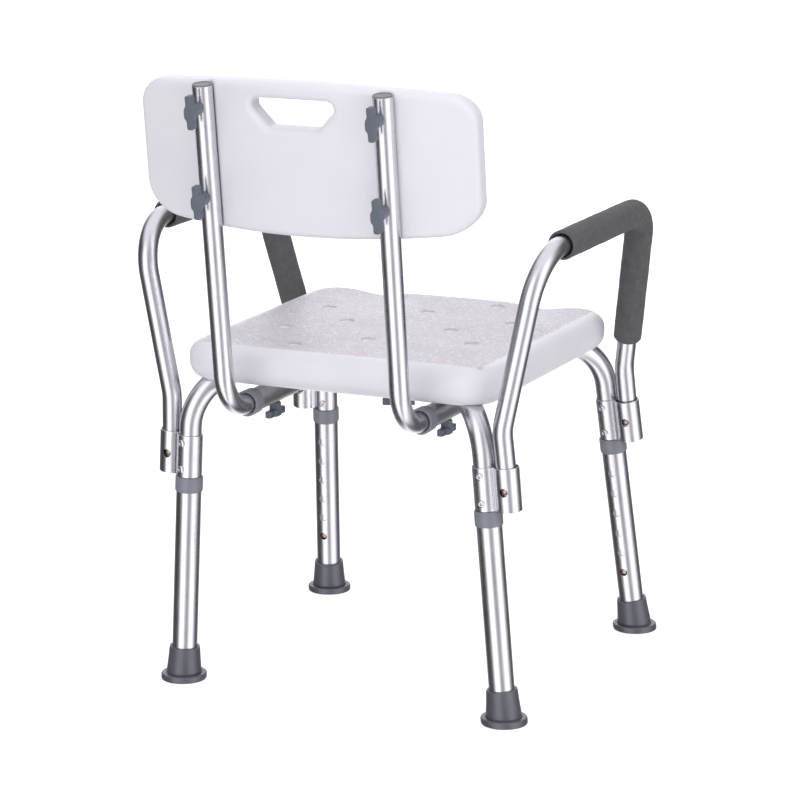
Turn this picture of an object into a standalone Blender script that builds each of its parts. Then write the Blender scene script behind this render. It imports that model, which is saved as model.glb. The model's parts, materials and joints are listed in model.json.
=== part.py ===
# Shower chair with backrest, lift-off armrests and four height-adjustable legs.
# Metres, +Z up. The chair faces -Y; +X is the sitter's left. z = 0 is the floor.
# Points and vectors are in metres. Named sizes, radii, profiles and hole depths are in
# millimetres, laid out from the point midway between the four foot centres; the last
# section moves the whole chair to its final origin.
import bpy
import bmesh
import math
from mathutils import Vector, Matrix

for ob in list(bpy.data.objects):
    bpy.data.objects.remove(ob, do_unlink=True)

MM = 0.001
X, Y, Z = Vector((1, 0, 0)), Vector((0, 1, 0)), Vector((0, 0, 1))
SIDES = {"left": 1, "right": -1}      # sign of x
OPPOSITE = {"left": "right", "right": "left"}

# ---------------------------------------------------------------- shared sizes
BOLT_HOLE_R = 3.4
FRAME_RO, FRAME_RI = 12.7, 11.5       # cross frames and receiver tubes
FRAME_Z = 361.6                       # axis of the cross tubes under the seat
BEND_Z = 299.0                        # legs start to turn inwards here
FRAME_FOOT_Z = 60.0                   # lower ends of the cross frames, inside the legs

LEG_SPLAY = 0.0671                    # inward lean in x per unit of height
# foot centre, and rearward lean in y per unit of height
LEG = {
    "back": dict(x=199.8, y=194.7, lean=0.0323),
    "front": dict(x=203.5, y=-194.7, lean=0.1575),
}
HOLE_PITCH, HOLE_COUNT = 25.4, 6      # height-adjustment holes
HOLE_Z0 = 78.0                        # lowest hole above the floor
BUTTON_HOLE_R = 4.5

CLAMP_Z, CLAMP_H = 268.8, 49.0
# how far each clamp is turned on its leg, degrees
CLAMP_YAW = {"back_left": -14, "back_right": 4, "front_left": 11, "front_right": 11}
RIVETS = {"lower": -15.3, "upper": 15.3}    # along the leg from the clamp's middle
RIVET_HOLE_R = 2.4

POST_X = 106.0                        # backrest posts, receivers and their bolts
POST_RO, POST_RI = 11.1, 9.9
POST_Z = 335.6                        # axis of the receivers and the posts' lower arms
BACK_SLOPE = 0.1174                   # rearward lean of the posts per unit of height
PANEL_DEPTH = 28.0
BACK_KNOB_Z = {"upper": 681.5, "lower": 583.0}


# ---------------------------------------------------------------- materials
def material(name, colour, roughness, metallic=0.0):
    mat = bpy.data.materials.new(name)
    mat.use_nodes = True
    shader = mat.node_tree.nodes["Principled BSDF"]
    shader.inputs["Base Color"].default_value = (*colour, 1.0)
    shader.inputs["Roughness"].default_value = roughness
    shader.inputs["Metallic"].default_value = metallic
    mat.diffuse_color = (*colour, 1.0)
    return mat


PLASTIC = material("white_polyethylene", colour=(0.78, 0.77, 0.80), roughness=0.45)
ALU = material("satin_aluminium", colour=(0.72, 0.72, 0.74), roughness=0.28, metallic=1.0)
GREY = material("grey_plastic", colour=(0.16, 0.17, 0.19), roughness=0.5)
RUBBER = material("grey_rubber", colour=(0.12, 0.125, 0.14), roughness=0.75)
FOAM = material("grey_foam", colour=(0.09, 0.09, 0.095), roughness=0.9)
KNOB = material("slate_knob", colour=(0.12, 0.135, 0.16), roughness=0.5)
STEEL = material("rivet_steel", colour=(0.6, 0.6, 0.62), roughness=0.2, metallic=1.0)
BRASS = material("button_brass", colour=(0.6, 0.36, 0.22), roughness=0.3, metallic=1.0)


# ---------------------------------------------------------------- vectors and outlines
def mm(x, y, z):
    return Vector((x * MM, y * MM, z * MM))


def square_to(vector, axis):
    """The part of vector that is square to a unit axis."""
    return vector - axis * vector.dot(axis)


def circle(centre, u, v, radius, segments):
    points = []
    for i in range(segments):
        angle = 2 * math.pi * i / segments
        points.append(centre + u * (radius * math.cos(angle)) + v * (radius * math.sin(angle)))
    return points


def corner_arcs(corners, steps, inset=0.0):
    """2D outline from corner arcs: centre, centre, radius, start and end degrees."""
    points = []
    for a, b, radius, start, end in corners:
        for k in range(steps + 1):
            angle = math.radians(start + (end - start) * k / steps)
            r = radius - inset
            points.append((a + r * math.cos(angle), b + r * math.sin(angle)))
    return points


def edge_rounding(low, high, low_radius, high_radius, low_steps, high_steps):
    """(inset, height) stations of a slab with both edges rounded."""
    stations = []
    for k in range(low_steps + 1):
        angle = math.radians(90 * k / low_steps)
        stations.append((low_radius * (1 - math.sin(angle)),
                         low + low_radius * (1 - math.cos(angle))))
    for k in range(high_steps + 1):
        angle = math.radians(90 - 90 * k / high_steps)
        stations.append((high_radius * (1 - math.sin(angle)),
                         high - high_radius * (1 - math.cos(angle))))
    return stations


def fillet_path(points, radii, step=20.0):
    """(point, tangent) list with each inner corner replaced by an arc, about step degrees."""
    path = [(points[0], (points[1] - points[0]).normalized())]
    for before, corner, after, radius in zip(points, points[1:], points[2:], radii):
        d1, d2 = (corner - before).normalized(), (after - corner).normalized()
        turn = d1.angle(d2)
        r = radius * MM
        normal = square_to(d2, d1).normalized()
        centre = corner - d1 * (r * math.tan(turn / 2)) + normal * r
        count = max(1, round(math.degrees(turn) / step))
        for k in range(count + 1):
            angle = turn * k / count
            point = centre - normal * (r * math.cos(angle)) + d1 * (r * math.sin(angle))
            tangent = (d1 * math.cos(angle) + normal * math.sin(angle)).normalized()
            path.append((point, tangent))
    path.append((points[-1], (points[-1] - points[-2]).normalized()))
    return path


# ---------------------------------------------------------------- solids, as bmeshes
def ring_mesh(rings, closed=False):
    """Skin consecutive vertex rings; the last ring joins the first when closed."""
    bm = bmesh.new()
    loops = [[bm.verts.new(p) for p in ring] for ring in rings]
    count = len(rings[0])
    pairs = list(zip(loops, loops[1:]))
    if closed:
        pairs.append((loops[-1], loops[0]))
    for a, b in pairs:
        for i in range(count):
            j = (i + 1) % count
            bm.faces.new((a[i], a[j], b[j], b[i]))
    if not closed:
        bm.faces.new(list(reversed(loops[0])))
        bm.faces.new(loops[-1])
    return bm


def lathe_metres(base, axis, profile, segments, ref, closed=False):
    """Revolve (radius, height) pairs in metres about an axis through base."""
    w = axis.normalized()
    u = square_to(ref, w).normalized()
    v = w.cross(u)
    return ring_mesh([circle(base + w * h, u, v, r, segments) for r, h in profile], closed)


def lathe(base, axis, profile, segments=16, ref=Y, closed=False):
    """Revolve (radius, height) pairs in mm; closed joins the profile into a bushing."""
    profile = [(r * MM, h * MM) for r, h in profile]
    return lathe_metres(base, axis, profile, segments, ref, closed)


def rod(start, end, radius, segments=16, ref=Y):
    axis = end - start
    r = radius * MM
    return lathe_metres(start, axis, [(r, 0.0), (r, axis.length)], segments, ref)


def cross_hole(point, direction, near, far, radius, segments):
    """Cutter along direction, from near to far of a point on a tube's axis."""
    return rod(point + direction * (near * MM), point + direction * (far * MM),
               radius, segments, X)


def bolt_hole(point, low, high, ref=Y):
    """Upright bolt cutter at the point's x and y."""
    return rod(Vector((point.x, point.y, low * MM)), Vector((point.x, point.y, high * MM)),
               BOLT_HOLE_R, 12, ref)


def swept_rings(path, radius, segments, ref):
    """Circles along a (point, tangent) path, with the frame carried along it."""
    u = square_to(ref, path[0][1]).normalized()
    rings = []
    for point, tangent in path:
        u = square_to(u, tangent).normalized()
        rings.append(circle(point, u, tangent.cross(u), radius * MM, segments))
    return rings


def tube(path, outer, inner, segments=16, ref=Y):
    outside = swept_rings(path, outer, segments, ref)
    inside = swept_rings(path, inner, segments, ref)
    return ring_mesh(outside + list(reversed(inside)), closed=True)


def prism(outline, direction, length):
    """Extrude a planar outline; length in metres."""
    offset = direction.normalized() * length
    return ring_mesh([outline, [p + offset for p in outline]])


# ---------------------------------------------------------------- objects
def shade(me):
    me.shade_smooth()
    me.set_sharp_from_angle(angle=math.radians(35))


def set_origin(ob, origin):
    ob.data.transform(Matrix.Translation(-origin))
    ob.location = origin


def finish(name, bm, mat, origin=None, smooth=True):
    bmesh.ops.remove_doubles(bm, verts=bm.verts, dist=2e-6)
    bmesh.ops.recalc_face_normals(bm, faces=bm.faces)
    me = bpy.data.meshes.new(name)
    bm.to_mesh(me)
    bm.free()
    ob = bpy.data.objects.new(name, me)
    bpy.context.scene.collection.objects.link(ob)
    me.materials.append(mat)
    if smooth:
        shade(me)
    if origin is not None:
        set_origin(ob, origin)
    return ob


def evaluated_mesh(ob):
    bpy.context.view_layer.update()
    depsgraph = bpy.context.evaluated_depsgraph_get()
    return bpy.data.meshes.new_from_object(ob.evaluated_get(depsgraph))


def is_closed(me):
    bm = bmesh.new()
    bm.from_mesh(me)
    closed = len(bm.faces) > 3 and all(e.is_manifold for e in bm.edges)
    bm.free()
    return closed


def boolean(ob, cutters, operation="DIFFERENCE"):
    """Apply each cutter bmesh in turn, then clean up the mesh."""
    for bm in cutters:
        cutter = finish("cutter", bm, GREY, smooth=False)
        mod = ob.modifiers.new("b", "BOOLEAN")
        mod.operation = operation
        mod.solver = "EXACT"
        mod.object = cutter
        me = evaluated_mesh(ob)
        # guards against the exact solver returning an empty or open mesh
        if not is_closed(me):
            bpy.data.meshes.remove(me)
            mod.solver = "MANIFOLD"
            me = evaluated_mesh(ob)
        ob.modifiers.clear()
        old = ob.data
        ob.data = me
        me.name = ob.name
        bpy.data.meshes.remove(old)
        cutter_mesh = cutter.data
        bpy.data.objects.remove(cutter, do_unlink=True)
        bpy.data.meshes.remove(cutter_mesh)
    bm = bmesh.new()
    bm.from_mesh(ob.data)
    bmesh.ops.remove_doubles(bm, verts=bm.verts, dist=5e-6)
    bmesh.ops.dissolve_degenerate(bm, edges=bm.edges, dist=2e-6)
    bm.to_mesh(ob.data)
    bm.free()
    # drop the cutter's material slot
    while len(ob.data.materials) > 1:
        ob.data.materials.pop(index=len(ob.data.materials) - 1)
    shade(ob.data)


# ---------------------------------------------------------------- leg axes
def square_axes(up, sign, yaw):
    """Outward and rearward directions, square to the leg, turned by yaw."""
    out = X * (sign * math.cos(yaw)) + Y * math.sin(yaw)
    out = square_to(out, up).normalized()
    rear = square_to(square_to(Y, up), out).normalized()
    return out, rear


class Leg:
    """Axis of one leg; out and rear follow the clamp, inward faces mid-chair along y."""

    def __init__(self, end, side):
        size, sign = LEG[end], SIDES[side]
        self.side = side
        self.tag = end + "_" + side
        self.foot = mm(sign * size["x"], size["y"], 0)
        self.up = Vector((-sign * LEG_SPLAY, size["lean"], 1.0)).normalized()
        self.out, self.rear = square_axes(self.up, sign, math.radians(CLAMP_YAW[self.tag]))
        self.inward = square_axes(self.up, sign, 0.0)[1] * (-1 if end == "back" else 1)

    def at(self, z):
        return self.foot + self.up * (z * MM / self.up.z)

    def rivet_point(self, offset):
        return self.at(CLAMP_Z) + self.up * (offset * MM)

    def rivet_holes(self, near):
        return [cross_hole(self.rivet_point(offset), self.rear, near, 20, RIVET_HOLE_R, 8)
                for offset in RIVETS.values()]


LEGS = {(end, side): Leg(end, side) for side in SIDES for end in LEG}


# ---------------------------------------------------------------- cross frames
def frame_path(back_side):
    """From a back leg, under the seat, to the opposite front leg; also its two corners."""
    back, front = LEGS["back", back_side], LEGS["front", OPPOSITE[back_side]]
    back_corner, front_corner = back.at(FRAME_Z), front.at(FRAME_Z)
    points = [back.at(FRAME_FOOT_Z), back_corner, front_corner, front.at(FRAME_FOOT_Z)]
    path = fillet_path(points, [FRAME_Z - BEND_Z] * 2, 18.0)
    return path, back_corner, front_corner


def point_at_x(start, end, x):
    return start + (end - start) * ((x * MM - start.x) / (end.x - start.x))


def build_frame(name, back_side, upper):
    """upper: 1 for the frame that passes over the other, -1 for the one under."""
    flat_stations = (-61, -46, -26, 26, 46, 61)    # along the run from the crossing
    ramp_end, ramp_length = 62, 24
    flat_height = 0.485       # height left of the round section
    flat_rise = 6.55          # shift up or down to pass the other tube
    flat_spread = 0.12        # extra width, as a share
    leg_zone_top = 0.345      # metres; nothing below this is flattened

    path, back_corner, front_corner = frame_path(back_side)
    crossing = point_at_x(back_corner, front_corner, 0)
    run = (front_corner - back_corner).normalized()
    across = Z.cross(run)
    # insert the flat stations into the longest straight
    split = 1 + max(range(len(path) - 1), key=lambda i: (path[i + 1][0] - path[i][0]).length)
    stations = [(crossing + run * (k * MM), run) for k in flat_stations]
    bm = tube(path[:split] + stations + path[split:], FRAME_RO, FRAME_RI)
    for vert in bm.verts:
        rel = vert.co - crossing
        along = abs(rel.dot(run)) / MM
        if vert.co.z < leg_zone_top or along > flat_stations[-1]:
            continue
        k = min(1.0, max(0.0, (ramp_end - along) / ramp_length))
        k = k * k * (3 - 2 * k)
        height = vert.co.z - crossing.z
        flat = height * flat_height + upper * flat_rise * MM
        vert.co.z = crossing.z + height * (1 - k) + flat * k
        vert.co += across * (rel.dot(across) * flat_spread * k)
    frame = finish(name, bm, ALU)

    # centre bolt and receiver bolt
    bolt = point_at_x(back_corner, front_corner, SIDES[back_side] * POST_X)
    ref = run + across * 0.13
    boolean(frame, [bolt_hole(crossing, 330, 390, ref), bolt_hole(bolt, 335, 390, ref)])
    # snap buttons and rivets
    cuts = []
    for leg in (LEGS["back", back_side], LEGS["front", OPPOSITE[back_side]]):
        cuts.append(cross_hole(leg.at(HOLE_Z0), leg.inward, 6, 20, BUTTON_HOLE_R, 8))
        cuts += leg.rivet_holes(6)
    boolean(frame, cuts)


build_frame("leg_frame_a", "left", 1)
build_frame("leg_frame_b", "right", -1)

_, back_corner, front_corner = frame_path("right")
CROSSING = point_at_x(back_corner, front_corner, 0)
BOLT_Y = point_at_x(back_corner, front_corner, -POST_X).y / MM


# ---------------------------------------------------------------- S-shaped wing knobs
# half of the wing outline: across, along; the other half is turned 180 degrees
WING_HALF = [
    (2.6, 18.6), (3.6, 16.8), (3.5, 8.8), (6.4, 6.4),
    (6.4, -3.8), (3.6, -7.6), (4.2, -16.8), (3.1, -18.6),
]


def build_knob(name, base, axis, wing, screw, hub=12.8, plate=10.0):
    """axis: outward; wing: along the wings; hub: hub height; plate: wing thickness;
    screw: length inwards from base."""
    gap, screw_r, hub_r, hub_overlap = 0.3, 3.0, 6.6, 3.0
    bevel_inset, bevel = 0.9, 1.0
    out = axis.normalized()
    along = square_to(wing, out).normalized()
    across = along.cross(out)
    outline = WING_HALF + [(-a, -b) for a, b in WING_HALF]
    low = gap + hub

    def loop(inset, height):
        points = []
        for a, b in outline:
            r = math.hypot(a, b)
            k = (r - inset) / r
            points.append(base + across * (a * k * MM) + along * (b * k * MM)
                          + out * (height * MM))
        return points

    wings = ring_mesh([loop(bevel_inset, low), loop(0.0, low + bevel),
                       loop(0.0, low + plate - bevel), loop(bevel_inset, low + plate)])
    knob = finish(name, wings, KNOB)
    stem = [(screw_r, -screw), (screw_r, gap), (hub_r, gap), (hub_r, low + hub_overlap)]
    boolean(knob, [lathe(base, out, stem, 16, along)], "UNION")
    set_origin(knob, base)


# ---------------------------------------------------------------- seat
SEAT_HALF_W, SEAT_BACK_Y, SEAT_FRONT_Y = 190.5, 215.0, -154.0
SEAT_TOP_Z, SEAT_BOTTOM_Z = 398.6, 355.0
SEAT_CORNER_R, SEAT_TOP_R, SEAT_BOTTOM_R = 42.0, 17.0, 20.0
CHANNEL_R, CHANNEL_HALF_W = 13.3, 13.7
# staggered drains, x and y from the middle of the pattern; pairs are mirrored in x
DRAIN_PAIRS = [(64, 143 + 9), (116, 72), (65, 15), (116, -45), (64, -125)]
DRAIN_MIDDLE = [(0, 96), (0, -67)]
DRAIN_SHIFT = (5.5, 9)
# radius, z: narrow bore with a wide shallow mouth on top
DRAIN_PROFILE = [(3.5, 345), (3.5, 394.5), (7.2, 396.5), (7.2, 405)]


def channel_cutters(back_side, roof_rise):
    """Round channel along a cross frame, and the slot that opens it downwards."""
    path, back_corner, front_corner = frame_path(back_side)
    keep = [(p, t) for p, t in path if p.z > 0.325]
    across = Z.cross((front_corner - back_corner).normalized())
    edge = [p + Z * (roof_rise * MM) for p, _ in keep]
    edge += [Vector((p.x, p.y, 0.318)) for p in (edge[-1], edge[0])]
    outline = [p - across * (CHANNEL_HALF_W * MM) for p in edge]
    return [ring_mesh(swept_rings(keep, CHANNEL_R, 16, Y)),
            prism(outline, across, 2 * CHANNEL_HALF_W * MM)]


def crossing_pocket(back_side, k):
    """Wider, square-topped pocket at the crossing; k varies the size a little."""
    _, back_corner, front_corner = frame_path(back_side)
    run = (front_corner - back_corner).normalized()
    across = Z.cross(run)
    centre = Vector((CROSSING.x, CROSSING.y, (341 + 0.6 * k) * MM))
    half_length, half_width = 64, 14.9 + 0.2 * k
    outline = [centre + run * (a * half_length * MM) + across * (b * half_width * MM)
               for a, b in ((-1, -1), (1, -1), (1, 1), (-1, 1))]
    return prism(outline, Z, (375.2 + 0.2 * k) * MM - centre.z)


def build_seat():
    r = SEAT_CORNER_R
    right, left = -SEAT_HALF_W + r, SEAT_HALF_W - r
    back, front = SEAT_BACK_Y - r, SEAT_FRONT_Y + r
    corners = [(left, back, r, 0, 90), (right, back, r, 90, 180),
               (right, front, r, 180, 270), (left, front, r, 270, 360)]
    stations = edge_rounding(SEAT_BOTTOM_Z, SEAT_TOP_Z, SEAT_BOTTOM_R, SEAT_TOP_R, 4, 4)
    rings = [[mm(x, y, z) for x, y in corner_arcs(corners, 4, inset)]
             for inset, z in stations]
    seat = finish("seat", ring_mesh(rings), PLASTIC)

    # the two frames' cutters differ slightly so that no faces coincide
    cuts = channel_cutters("left", 0.25) + channel_cutters("right", 0.55)
    cuts += [crossing_pocket("left", 0), crossing_pocket("right", 1)]
    bolts = [CROSSING] + [mm(sign * POST_X, BOLT_Y, 0) for sign in SIDES.values()]
    cuts += [bolt_hole(point, 350, 388.5) for point in bolts]
    boolean(seat, cuts)

    drains = [(sign * x, y) for sign in SIDES.values() for x, y in DRAIN_PAIRS]
    shift_x, shift_y = DRAIN_SHIFT
    boolean(seat, [lathe(mm(x + shift_x, y + shift_y, 0), Z, DRAIN_PROFILE, 8, X + Y * 0.21)
                   for x, y in drains + DRAIN_MIDDLE])


build_seat()

# ---------------------------------------------------------------- backrest
TILT = math.atan(BACK_SLOPE)
BACK_UP = Vector((0, math.sin(TILT), math.cos(TILT)))
BACK_REAR = Vector((0, math.cos(TILT), -math.sin(TILT)))
BACK_ORIGIN = mm(0, 201.0, POST_Z)

PANEL_HALF_W, PANEL_HALF_H, PANEL_Z = 198.5, 84.7, 627.0
PANEL_TOP_R, PANEL_BOTTOM_R = 30.0, 41.0
# hand slot, a rounded trapezoid wider at the top: x, height, radius, start and end degrees
HAND_SLOT = [
    (42.3, 58.4, 8, 90, -36), (28.3, 40.6, 6, -36, -90),
    (-23.7, 40.6, 6, -90, -144), (-37.7, 58.4, 8, -144, -270),
]


def post_point(x, z):
    """Point on the sloping plane of the posts' axes."""
    return mm(x, 272.2 + BACK_SLOPE * (z - 464.5), z)


def parabola(x, depth, reach):
    """Zero at x = 0, depth at x = reach."""
    return depth * (x / reach) ** 2


def shape_panel(panel):
    """Split the flat panel along its width, bow it, crown its edges and tilt it."""
    bm = bmesh.new()
    bm.from_mesh(panel.data)
    for k in range(-8, 9):
        geom = bm.verts[:] + bm.edges[:] + bm.faces[:]
        bmesh.ops.bisect_plane(bm, geom=geom, plane_co=(k * 22.5 * MM, 0, 0),
                               plane_no=(1, 0, 0), dist=1e-6)
    for vert in bm.verts:
        x, depth, height = vert.co.x / MM, vert.co.y / MM, vert.co.z / MM
        # towards the ends the bottom edge rises and the top edge drops
        if height < 0:
            height += parabola(x, 9.0, 150) * (-height / PANEL_HALF_H)
        else:
            height -= parabola(x, 5.0, 165) * (height / PANEL_HALF_H)
        height -= parabola(x, 2.0, 196)
        # the ends come forward
        vert.co = (post_point(x, PANEL_Z) + BACK_UP * (height * MM)
                   + BACK_REAR * ((depth + 1.0) * MM) - Y * (parabola(x, 28.0, 196) * MM))
    bmesh.ops.triangulate(bm, faces=[f for f in bm.faces if len(f.verts) > 4])
    bm.to_mesh(panel.data)
    bm.free()


def build_panel():
    top_x, top_z = PANEL_HALF_W - PANEL_TOP_R, PANEL_HALF_H - PANEL_TOP_R
    low_x, low_z = PANEL_HALF_W - PANEL_BOTTOM_R, PANEL_HALF_H - PANEL_BOTTOM_R
    corners = [(top_x, top_z, PANEL_TOP_R, 0, 90), (-top_x, top_z, PANEL_TOP_R, 90, 180),
               (-low_x, -low_z, PANEL_BOTTOM_R, 180, 270),
               (low_x, -low_z, PANEL_BOTTOM_R, 270, 360)]
    stations = edge_rounding(-PANEL_DEPTH, 0, 11, 7, 3, 2)
    rings = [[Vector((x, y, z)) * MM for x, z in corner_arcs(corners, 4, inset)]
             for inset, y in stations]
    panel = finish("backrest_panel", ring_mesh(rings), PLASTIC)
    slot = [Vector((x, -60, z)) * MM for x, z in corner_arcs(HAND_SLOT, 3)]
    boolean(panel, [prism(slot, Y, 90 * MM)])
    shape_panel(panel)
    # grooves for the posts and holes for the knob screws
    cuts = []
    for sign in SIDES.values():
        x = sign * POST_X
        cuts.append(rod(post_point(x, 520), post_point(x, 760), 11.9, 16, X))
        for z in BACK_KNOB_Z.values():
            cuts.append(cross_hole(post_point(x, z), BACK_REAR, 2, -29, BOLT_HOLE_R, 12))
    boolean(panel, cuts)
    set_origin(panel, BACK_ORIGIN)


def build_post(side, x):
    end_y = 114.0
    top = post_point(x, 704.0)
    path = fillet_path([mm(x, end_y, POST_Z), post_point(x, POST_Z), top], [50])
    post = finish("backrest_post_" + side, tube(path, POST_RO, POST_RI, 16, X), ALU)
    # open slot in the hidden end, so the post slides off its clamp bolt
    low, high, half = end_y - 3, BOLT_Y + 4.2, 3.7
    slot = [(x - half, low), (x + half, low), (x + half, high - 2), (x, high),
            (x - half, high - 2)]
    cuts = [prism([mm(a, b, 300) for a, b in slot], Z, 60 * MM)]
    for z in BACK_KNOB_Z.values():
        cuts.append(cross_hole(post_point(x, z), BACK_REAR, -16, 16, BOLT_HOLE_R, 12))
    boolean(post, cuts)
    set_origin(post, BACK_ORIGIN)
    # inset plug in the top of the post
    plug = [(9.5, -8), (9.5, 0.3), (10.9, 0.3), (10.9, 1.3), (9.6, 2.1)]
    finish("post_cap_" + side, lathe(top, BACK_UP, plug, 16, X), GREY, BACK_ORIGIN)


def build_receiver(side, x):
    """Tube under the seat that takes the post, and the bushing on its rear end."""
    front_y, rear_y, lip = 96, 211.0, 2.3
    path = [(mm(x, front_y, POST_Z), Y), (mm(x, rear_y - lip, POST_Z), Y)]
    receiver = finish("receiver_tube_" + side, tube(path, FRAME_RO, FRAME_RI, 16, X), ALU)
    boolean(receiver, [bolt_hole(mm(x, BOLT_Y, 0), 310, 355)])
    collar = [(14.6, -17.5), (14.7, -0.8), (14.2, 0.0), (11.8, 0.0), (11.8, -2.0),
              (13.0, -2.0), (13.0, -17.5)]
    finish("receiver_collar_" + side,
           lathe(mm(x, rear_y, POST_Z), Y, collar, 16, X, closed=True), GREY)


build_panel()
for side, sign in SIDES.items():
    x = sign * POST_X
    build_post(side, x)
    build_receiver(side, x)
    for level, z in BACK_KNOB_Z.items():
        build_knob("backrest_knob_%s_%s" % (level, side),
                   post_point(x, z) + BACK_REAR * (POST_RO * MM), BACK_REAR, BACK_UP,
                   screw=POST_RO + PANEL_DEPTH - 1.2)
    build_knob("receiver_knob_" + side, mm(x, BOLT_Y, POST_Z - FRAME_RO), -Z, Y,
               screw=64.8, hub=8.0, plate=8.0)
build_knob("centre_knob", Vector((CROSSING.x, CROSSING.y, (FRAME_Z - 12.9) * MM)), -Z,
           Vector((0.907, 0.42, 0)), screw=38.0, hub=33.9, plate=8.0)

# ---------------------------------------------------------------- legs, clamps and feet
ARM_OFFSET = 26.5                     # armrest socket outwards from the leg axis
ARM_RO, ARM_RI = 11.1, 9.9
LEG_RO, LEG_RI = 14.3, 13.1
LEG_BOTTOM_Z, LEG_TOP_Z, LEG_ORIGIN_Z = 9.4, 241.4, 224.0

# lathe profiles: radius, height
RIVET_PROFILE = [(2.1, 10.4), (2.1, 14.6), (4.1, 14.6), (3.6, 15.9), (1.8, 16.6)]
LEG_COLLAR_PROFILE = [
    (15.5, -17.5), (15.7, -2.0), (15.0, 0.0), (13.05, 0.0), (13.05, -1.9),
    (14.65, -1.9), (14.65, -17.5),
]
FOOT_DISC = [(24.6, 0.0), (26.1, 1.4), (26.1, 7.0), (25.0, 8.2)]
FOOT_CONE = [(18.0, 0.0), (20.4, 6.0), (18.9, 9.5), (17.2, 35.2)]
LEG_BUTTON = [(5.4, 4.2), (5.4, 5.7), (4.0, 5.7), (4.0, 11.4), (2.4, 12.6)]
ARM_BUTTON = [(4.8, 2.2), (4.8, 3.7), (3.5, 3.7), (3.5, 10.0), (2.1, 11.0)]


def arm_axes(side):
    """Direction of the armrest's lower ends, and rearwards square to it."""
    lean = (LEG["back"]["lean"] + LEG["front"]["lean"]) / 2
    up = Vector((-SIDES[side] * LEG_SPLAY, lean, 1.0)).normalized()
    return up, square_to(Y, up).normalized()


def arm_socket(leg):
    """Where the armrest tube's axis crosses the socket's axis."""
    return leg.at(273.0) + leg.out * (ARM_OFFSET * MM)


def arm_button_point(leg):
    return arm_socket(leg) - arm_axes(leg.side)[0] * (5 * MM)


def build_clamp(leg):
    """Double socket: leg barrel, armrest barrel and the web between them."""
    web_half = 6.0
    half = leg.up * (CLAMP_H / 2 * MM)
    low, high = leg.at(CLAMP_Z) - half, leg.at(CLAMP_Z) + half
    outline = []
    for centre, r, web_angle in ((0.0, 14.3, 0.0), (ARM_OFFSET, 14.1, math.pi)):
        gap = math.asin(web_half / r)
        for k in range(19):
            angle = web_angle + gap + (2 * math.pi - 2 * gap) * k / 18
            outline.append(low + leg.out * ((centre + r * math.cos(angle)) * MM)
                           + leg.rear * (r * math.sin(angle) * MM))
    clamp = finish("clamp_" + leg.tag, prism(outline, leg.up, CLAMP_H * MM), ALU)
    offset, extra = leg.out * (ARM_OFFSET * MM), leg.up * (5 * MM)
    cuts = [rod(low - extra, high + extra, 13.0, 16, leg.out),
            rod(low + offset - extra, high + offset + extra, 12.75, 16, leg.out),
            cross_hole(arm_button_point(leg), arm_axes(leg.side)[1], 8, 20, 4.9, 12)]
    boolean(clamp, cuts + leg.rivet_holes(9))
    for level, along in RIVETS.items():
        finish("clamp_rivet_%s_%s" % (level, leg.tag),
               lathe(leg.rivet_point(along), leg.rear, RIVET_PROFILE, 8, X), STEEL)


def build_lower_leg(leg):
    """Tube with its row of holes facing mid-chair, and the collar on its top."""
    origin = leg.at(LEG_ORIGIN_Z)
    path = [(leg.at(LEG_BOTTOM_Z), leg.up), (leg.at(LEG_TOP_Z), leg.up)]
    tube_ob = finish("lower_leg_" + leg.tag, tube(path, LEG_RO, LEG_RI), ALU)
    boolean(tube_ob, [
        cross_hole(leg.at(HOLE_Z0) + leg.up * (k * HOLE_PITCH * MM), leg.inward,
                   8, 20, BUTTON_HOLE_R, 8)
        for k in range(HOLE_COUNT)])
    set_origin(tube_ob, origin)
    clamp_bottom = leg.at(CLAMP_Z) - leg.up * (CLAMP_H / 2 * MM)
    collar = lathe(clamp_bottom - leg.up * (0.4 * MM), leg.up, LEG_COLLAR_PROFILE, closed=True)
    finish("leg_collar_" + leg.tag, collar, GREY, origin)


def build_foot(leg):
    """Rubber foot: flat disc on the floor, cone on the leg's axis, bored for the leg."""
    foot = finish("foot_" + leg.tag, lathe(leg.at(0), Z, FOOT_DISC, 20, X), RUBBER)
    boolean(foot, [lathe(leg.at(3.6), leg.up, FOOT_CONE)], "UNION")
    boolean(foot, [rod(leg.at(9.0), leg.at(60), 14.65)])
    set_origin(foot, leg.at(LEG_ORIGIN_Z))


def build_button(name, point, direction, profile):
    """Snap button, pressed in; its origin is at its tip."""
    tip = point + direction * (profile[-1][1] * MM)
    finish(name, lathe(point, direction, profile, 10, X), BRASS, tip)


for leg in LEGS.values():
    build_clamp(leg)
    build_lower_leg(leg)
    build_foot(leg)
    build_button("leg_button_" + leg.tag, leg.at(HOLE_Z0), leg.inward, LEG_BUTTON)
    build_button("arm_button_" + leg.tag, arm_button_point(leg), arm_axes(leg.side)[1],
                 ARM_BUTTON)

# ---------------------------------------------------------------- armrests
# x of the armrest top at its back and front bends; the two sides stand differently
ARM_TOP_X = {"left": (237.5, 234.5), "right": (-244.5, -247.5)}
ARM_BACK_Y, ARM_BACK_Z = 207.0, 529.5
ARM_FRONT_Y, ARM_FRONT_Z = -85.0, 531.0
ARM_FRONT_BEND_R = 45
GRIP_BACK_Y, GRIP_LOW_Z = 148.0, 370.0


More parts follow.
